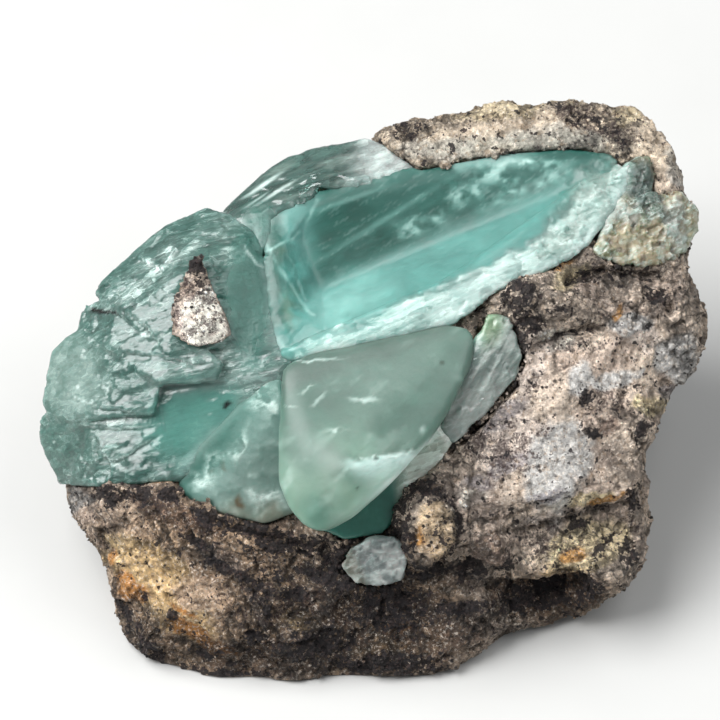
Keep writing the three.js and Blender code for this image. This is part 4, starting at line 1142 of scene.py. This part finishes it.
CRYSTALS = {  # node: (slot, voxel, rounds of evening out, shade, looks, material settings)
    "main_crystal": ("teal_crystal", 0.13, 2, 0.85, main_crystal_looks,
                     dict(clear=0.85, absorbs=(0.25, 0.68, 0.62), depth=5, roughness=0.3, gloss=0.08)),
    "left_crystals": ("aqua_crystal", 0.13, 1, 0.56, left_crystals_looks,
                      dict(clear=0.8, absorbs=(0.45, 0.82, 0.77), depth=5, run=CLEAVAGE, gloss=0.28)),
    "front_crystal": ("pale_green_crystal", 0.14, 70, 1.0, front_crystal_looks,
                      dict(clear=0.85, absorbs=(0.6, 0.84, 0.76), depth=5, roughness=0.38, gloss=0.1)),
    "upper_crystals": ("clear_crystal", 0.12, 1, 0.8, upper_crystals_looks,
                       dict(clear=0.9, absorbs=(0.6, 0.8, 0.76), depth=5)),
    "side_crystal": ("grey_crystal", 0.1, 1, 0.9, side_crystal_looks,
                     dict(clear=0.6, absorbs=(0.6, 0.7, 0.66), depth=4)),
    "milky_crystal": ("milky_crystal", 0.11, 8, 0.72, milky_crystal_looks,
                      dict(clear=0.65, absorbs=(0.5, 0.8, 0.75), depth=4, roughness=0.5, gloss=0.08)),
    "lower_crystal": ("teal_crystal", 0.11, 2, 0.8, lower_crystal_looks,
                      dict(clear=0.85, absorbs=(0.25, 0.65, 0.58), depth=4)),
    "white_crystal": ("grey_crystal", 0.09, 2, 0.56, white_crystal_looks,
                      dict(clear=0.6, absorbs=(0.7, 0.75, 0.76), depth=4)),
    "right_crystals": ("olive_crystal", 0.1, 1, 0.66, right_crystals_looks,
                       dict(clear=0.6, absorbs=(0.6, 0.68, 0.5), depth=4)),
}
SEAM_SHARES = {"milky_crystal": 0.0, "front_crystal": 0.0, "main_crystal": 0.25}  # of the seam's haze and painted light
SEAM_SHARE = 0.45  # of all the other crystals
CRYSTAL_SWELL = 0.1  # closes most of the gap that the solids keep
FRONT_FACE = (6.39, 0.077, -0.555)  # height and slopes of the front crystal's broad upper face


def level_front_face(points, ends):
    """Planes off the swell of the front crystal's broad upper face."""
    level, slope_x, slope_y = FRONT_FACE
    cap = level + slope_x * points[:, 0] + slope_y * points[:, 1]
    return np.column_stack([points[:, :2], np.minimum(points[:, 2], cap)])


def soften_crease(points, ends):
    """Rounds the crease between the main crystal's two long faces."""
    share = np.exp(-(above(points, CREASE) / 0.5) ** 2) * (points[:, 2] > -0.5)
    return mixed(points, relax(points, ends, 16), share)


def sink_to_floor(points, ends):
    """Brings the milky crystal's upper edge down to the clear floor beside it."""
    sunk = 0.55 * by_path(points, FLOOR_SEAM, 1.1) * (points[:, 2] > 2.5)
    return relax(points - sunk[:, None] * (0, 0, 1), ends, 12)


def soften_panel(points, ends):
    """Evens out the clear panel between the chip and the main crystal."""
    share = most(points, [(-7.5, 5.0, 1.9, 4.4)], 0.4) * (points[:, 2] > -0.5)
    return mixed(points, relax(points, ends, 60), share)


RESHAPED = {  # node: how its points are moved before they are evened out, from them and the edges
    "front_crystal": level_front_face, "left_crystals": soften_panel, "main_crystal": soften_crease,
    "milky_crystal": sink_to_floor,
}


def make_crystal(node):
    slot, voxel, rounds, shade, looks, settings = CRYSTALS[node]
    ob = remeshed_copy(node, node + "_fine", voxel)
    ends = edge_ends(ob.data)
    points = mesh_points(ob.data)
    if node in RESHAPED:
        points = RESHAPED[node](points, ends)
    points = relax(points, ends, rounds)
    set_points(ob.data, points)
    tint, frost, relief = looks(points)
    near, _ = nearness(points, tree_of([other for other in CRYSTALS if other != node]))
    veil = SEAM_SHARES.get(node, SEAM_SHARE)
    # paler towards the other crystals: seam haze and painted light over the shade in the gaps
    keep_colour(ob.data, "tint", mixed(tint * shade, SEAM_HAZE_AND_LIGHT, veil * ramp(near, 0.35, 0.8)))
    keep_colour(ob.data, "frost", np.stack([np.broadcast_to(part, len(points)) for part in frost], axis=1))
    relief = relief * (1 - 0.7 * near) + CRYSTAL_SWELL
    normals = read(ob.data.vertices, "normal")
    sideways = normals * (1, 1, 0) * (0.4 * ramp(near, 0.45, 0.7))[:, None]
    points = points + normals * relief[:, None] + sideways
    set_points(ob.data, mixed(points, relax(points, ends, 12), ramp(near, 0.3, 0.6)))
    finish_piece(ob, node, crystal_material(node + "_glass", **settings))


# ---- stage, lights and camera ----

FLOOR_REACH = 1.2  # half the floor's width, in metres
LIGHT_AIM = (0, 0, 10)  # in row millimetres
VIEW_CENTRE = (-0.72, 1.63, 2.0)  # the point of the display face that the camera looks at
VIEW_WIDTH = 43.4
VIEW_DISTANCE = 800.0
SENSOR = 36.0


def make_floor():
    mesh = bpy.data.meshes.new("floor")
    corners = [(x * FLOOR_REACH, y * FLOOR_REACH, 0) for x, y in ((-1, -1), (1, -1), (1, 1), (-1, 1))]
    mesh.from_pydata(corners, [], [(0, 1, 2, 3)])
    floor = placed("floor", mesh)
    n = Nodes("floor")
    n.set("Base Color", n.mix(n.noise(9.0), (0.43, 0.43, 0.42), (0.46, 0.46, 0.45)))
    n.set("Roughness", 0.8)
    floor.data.materials.append(n.material)


def add_light(name, place_mm, size_mm, power):
    data = bpy.data.lights.new(name, "AREA")
    data.shape = "SQUARE"
    data.size = size_mm * MM
    data.energy = power
    light = placed(name, data)
    light.location = Vector(place_mm) * MM
    aim = Vector(LIGHT_AIM) * MM - light.location
    light.rotation_euler = aim.to_track_quat("-Z", "Y").to_euler()


def add_world(strength):
    world = bpy.data.worlds.new("studio")
    bpy.context.scene.world = world
    world.use_nodes = True
    background = world.node_tree.nodes["Background"]
    background.inputs["Color"].default_value = (0.9, 0.95, 1.0, 1)
    background.inputs["Strength"].default_value = strength


def add_camera():
    data = bpy.data.cameras.new("camera")
    data.sensor_width = SENSOR
    data.lens = SENSOR * VIEW_DISTANCE / VIEW_WIDTH
    data.clip_start = 0.01
    data.clip_end = 10
    camera = placed("camera", data)
    out = AXES[:, 2]
    camera.location = Vector(to_row(np.array([VIEW_CENTRE]))[0] + out * VIEW_DISTANCE * MM)
    camera.rotation_euler = Vector(-out).to_track_quat("-Z", "Y").to_euler()
    bpy.context.scene.camera = camera


# ---- the scene ----

for node in CRYSTALS:
    make_crystal(node)
crystal_tree = tree_of(CRYSTALS)
rock = rock_material("rock")
for node in ROCKS:
    make_rock(node, rock, crystal_tree)

make_floor()
add_light("key", (-250, -20, 380), 400, 5.0)
add_light("fill", (240, -60, 380), 360, 1.0)
add_world(0.3)
add_camera()
bpy.context.scene.view_settings.view_transform = "Standard"
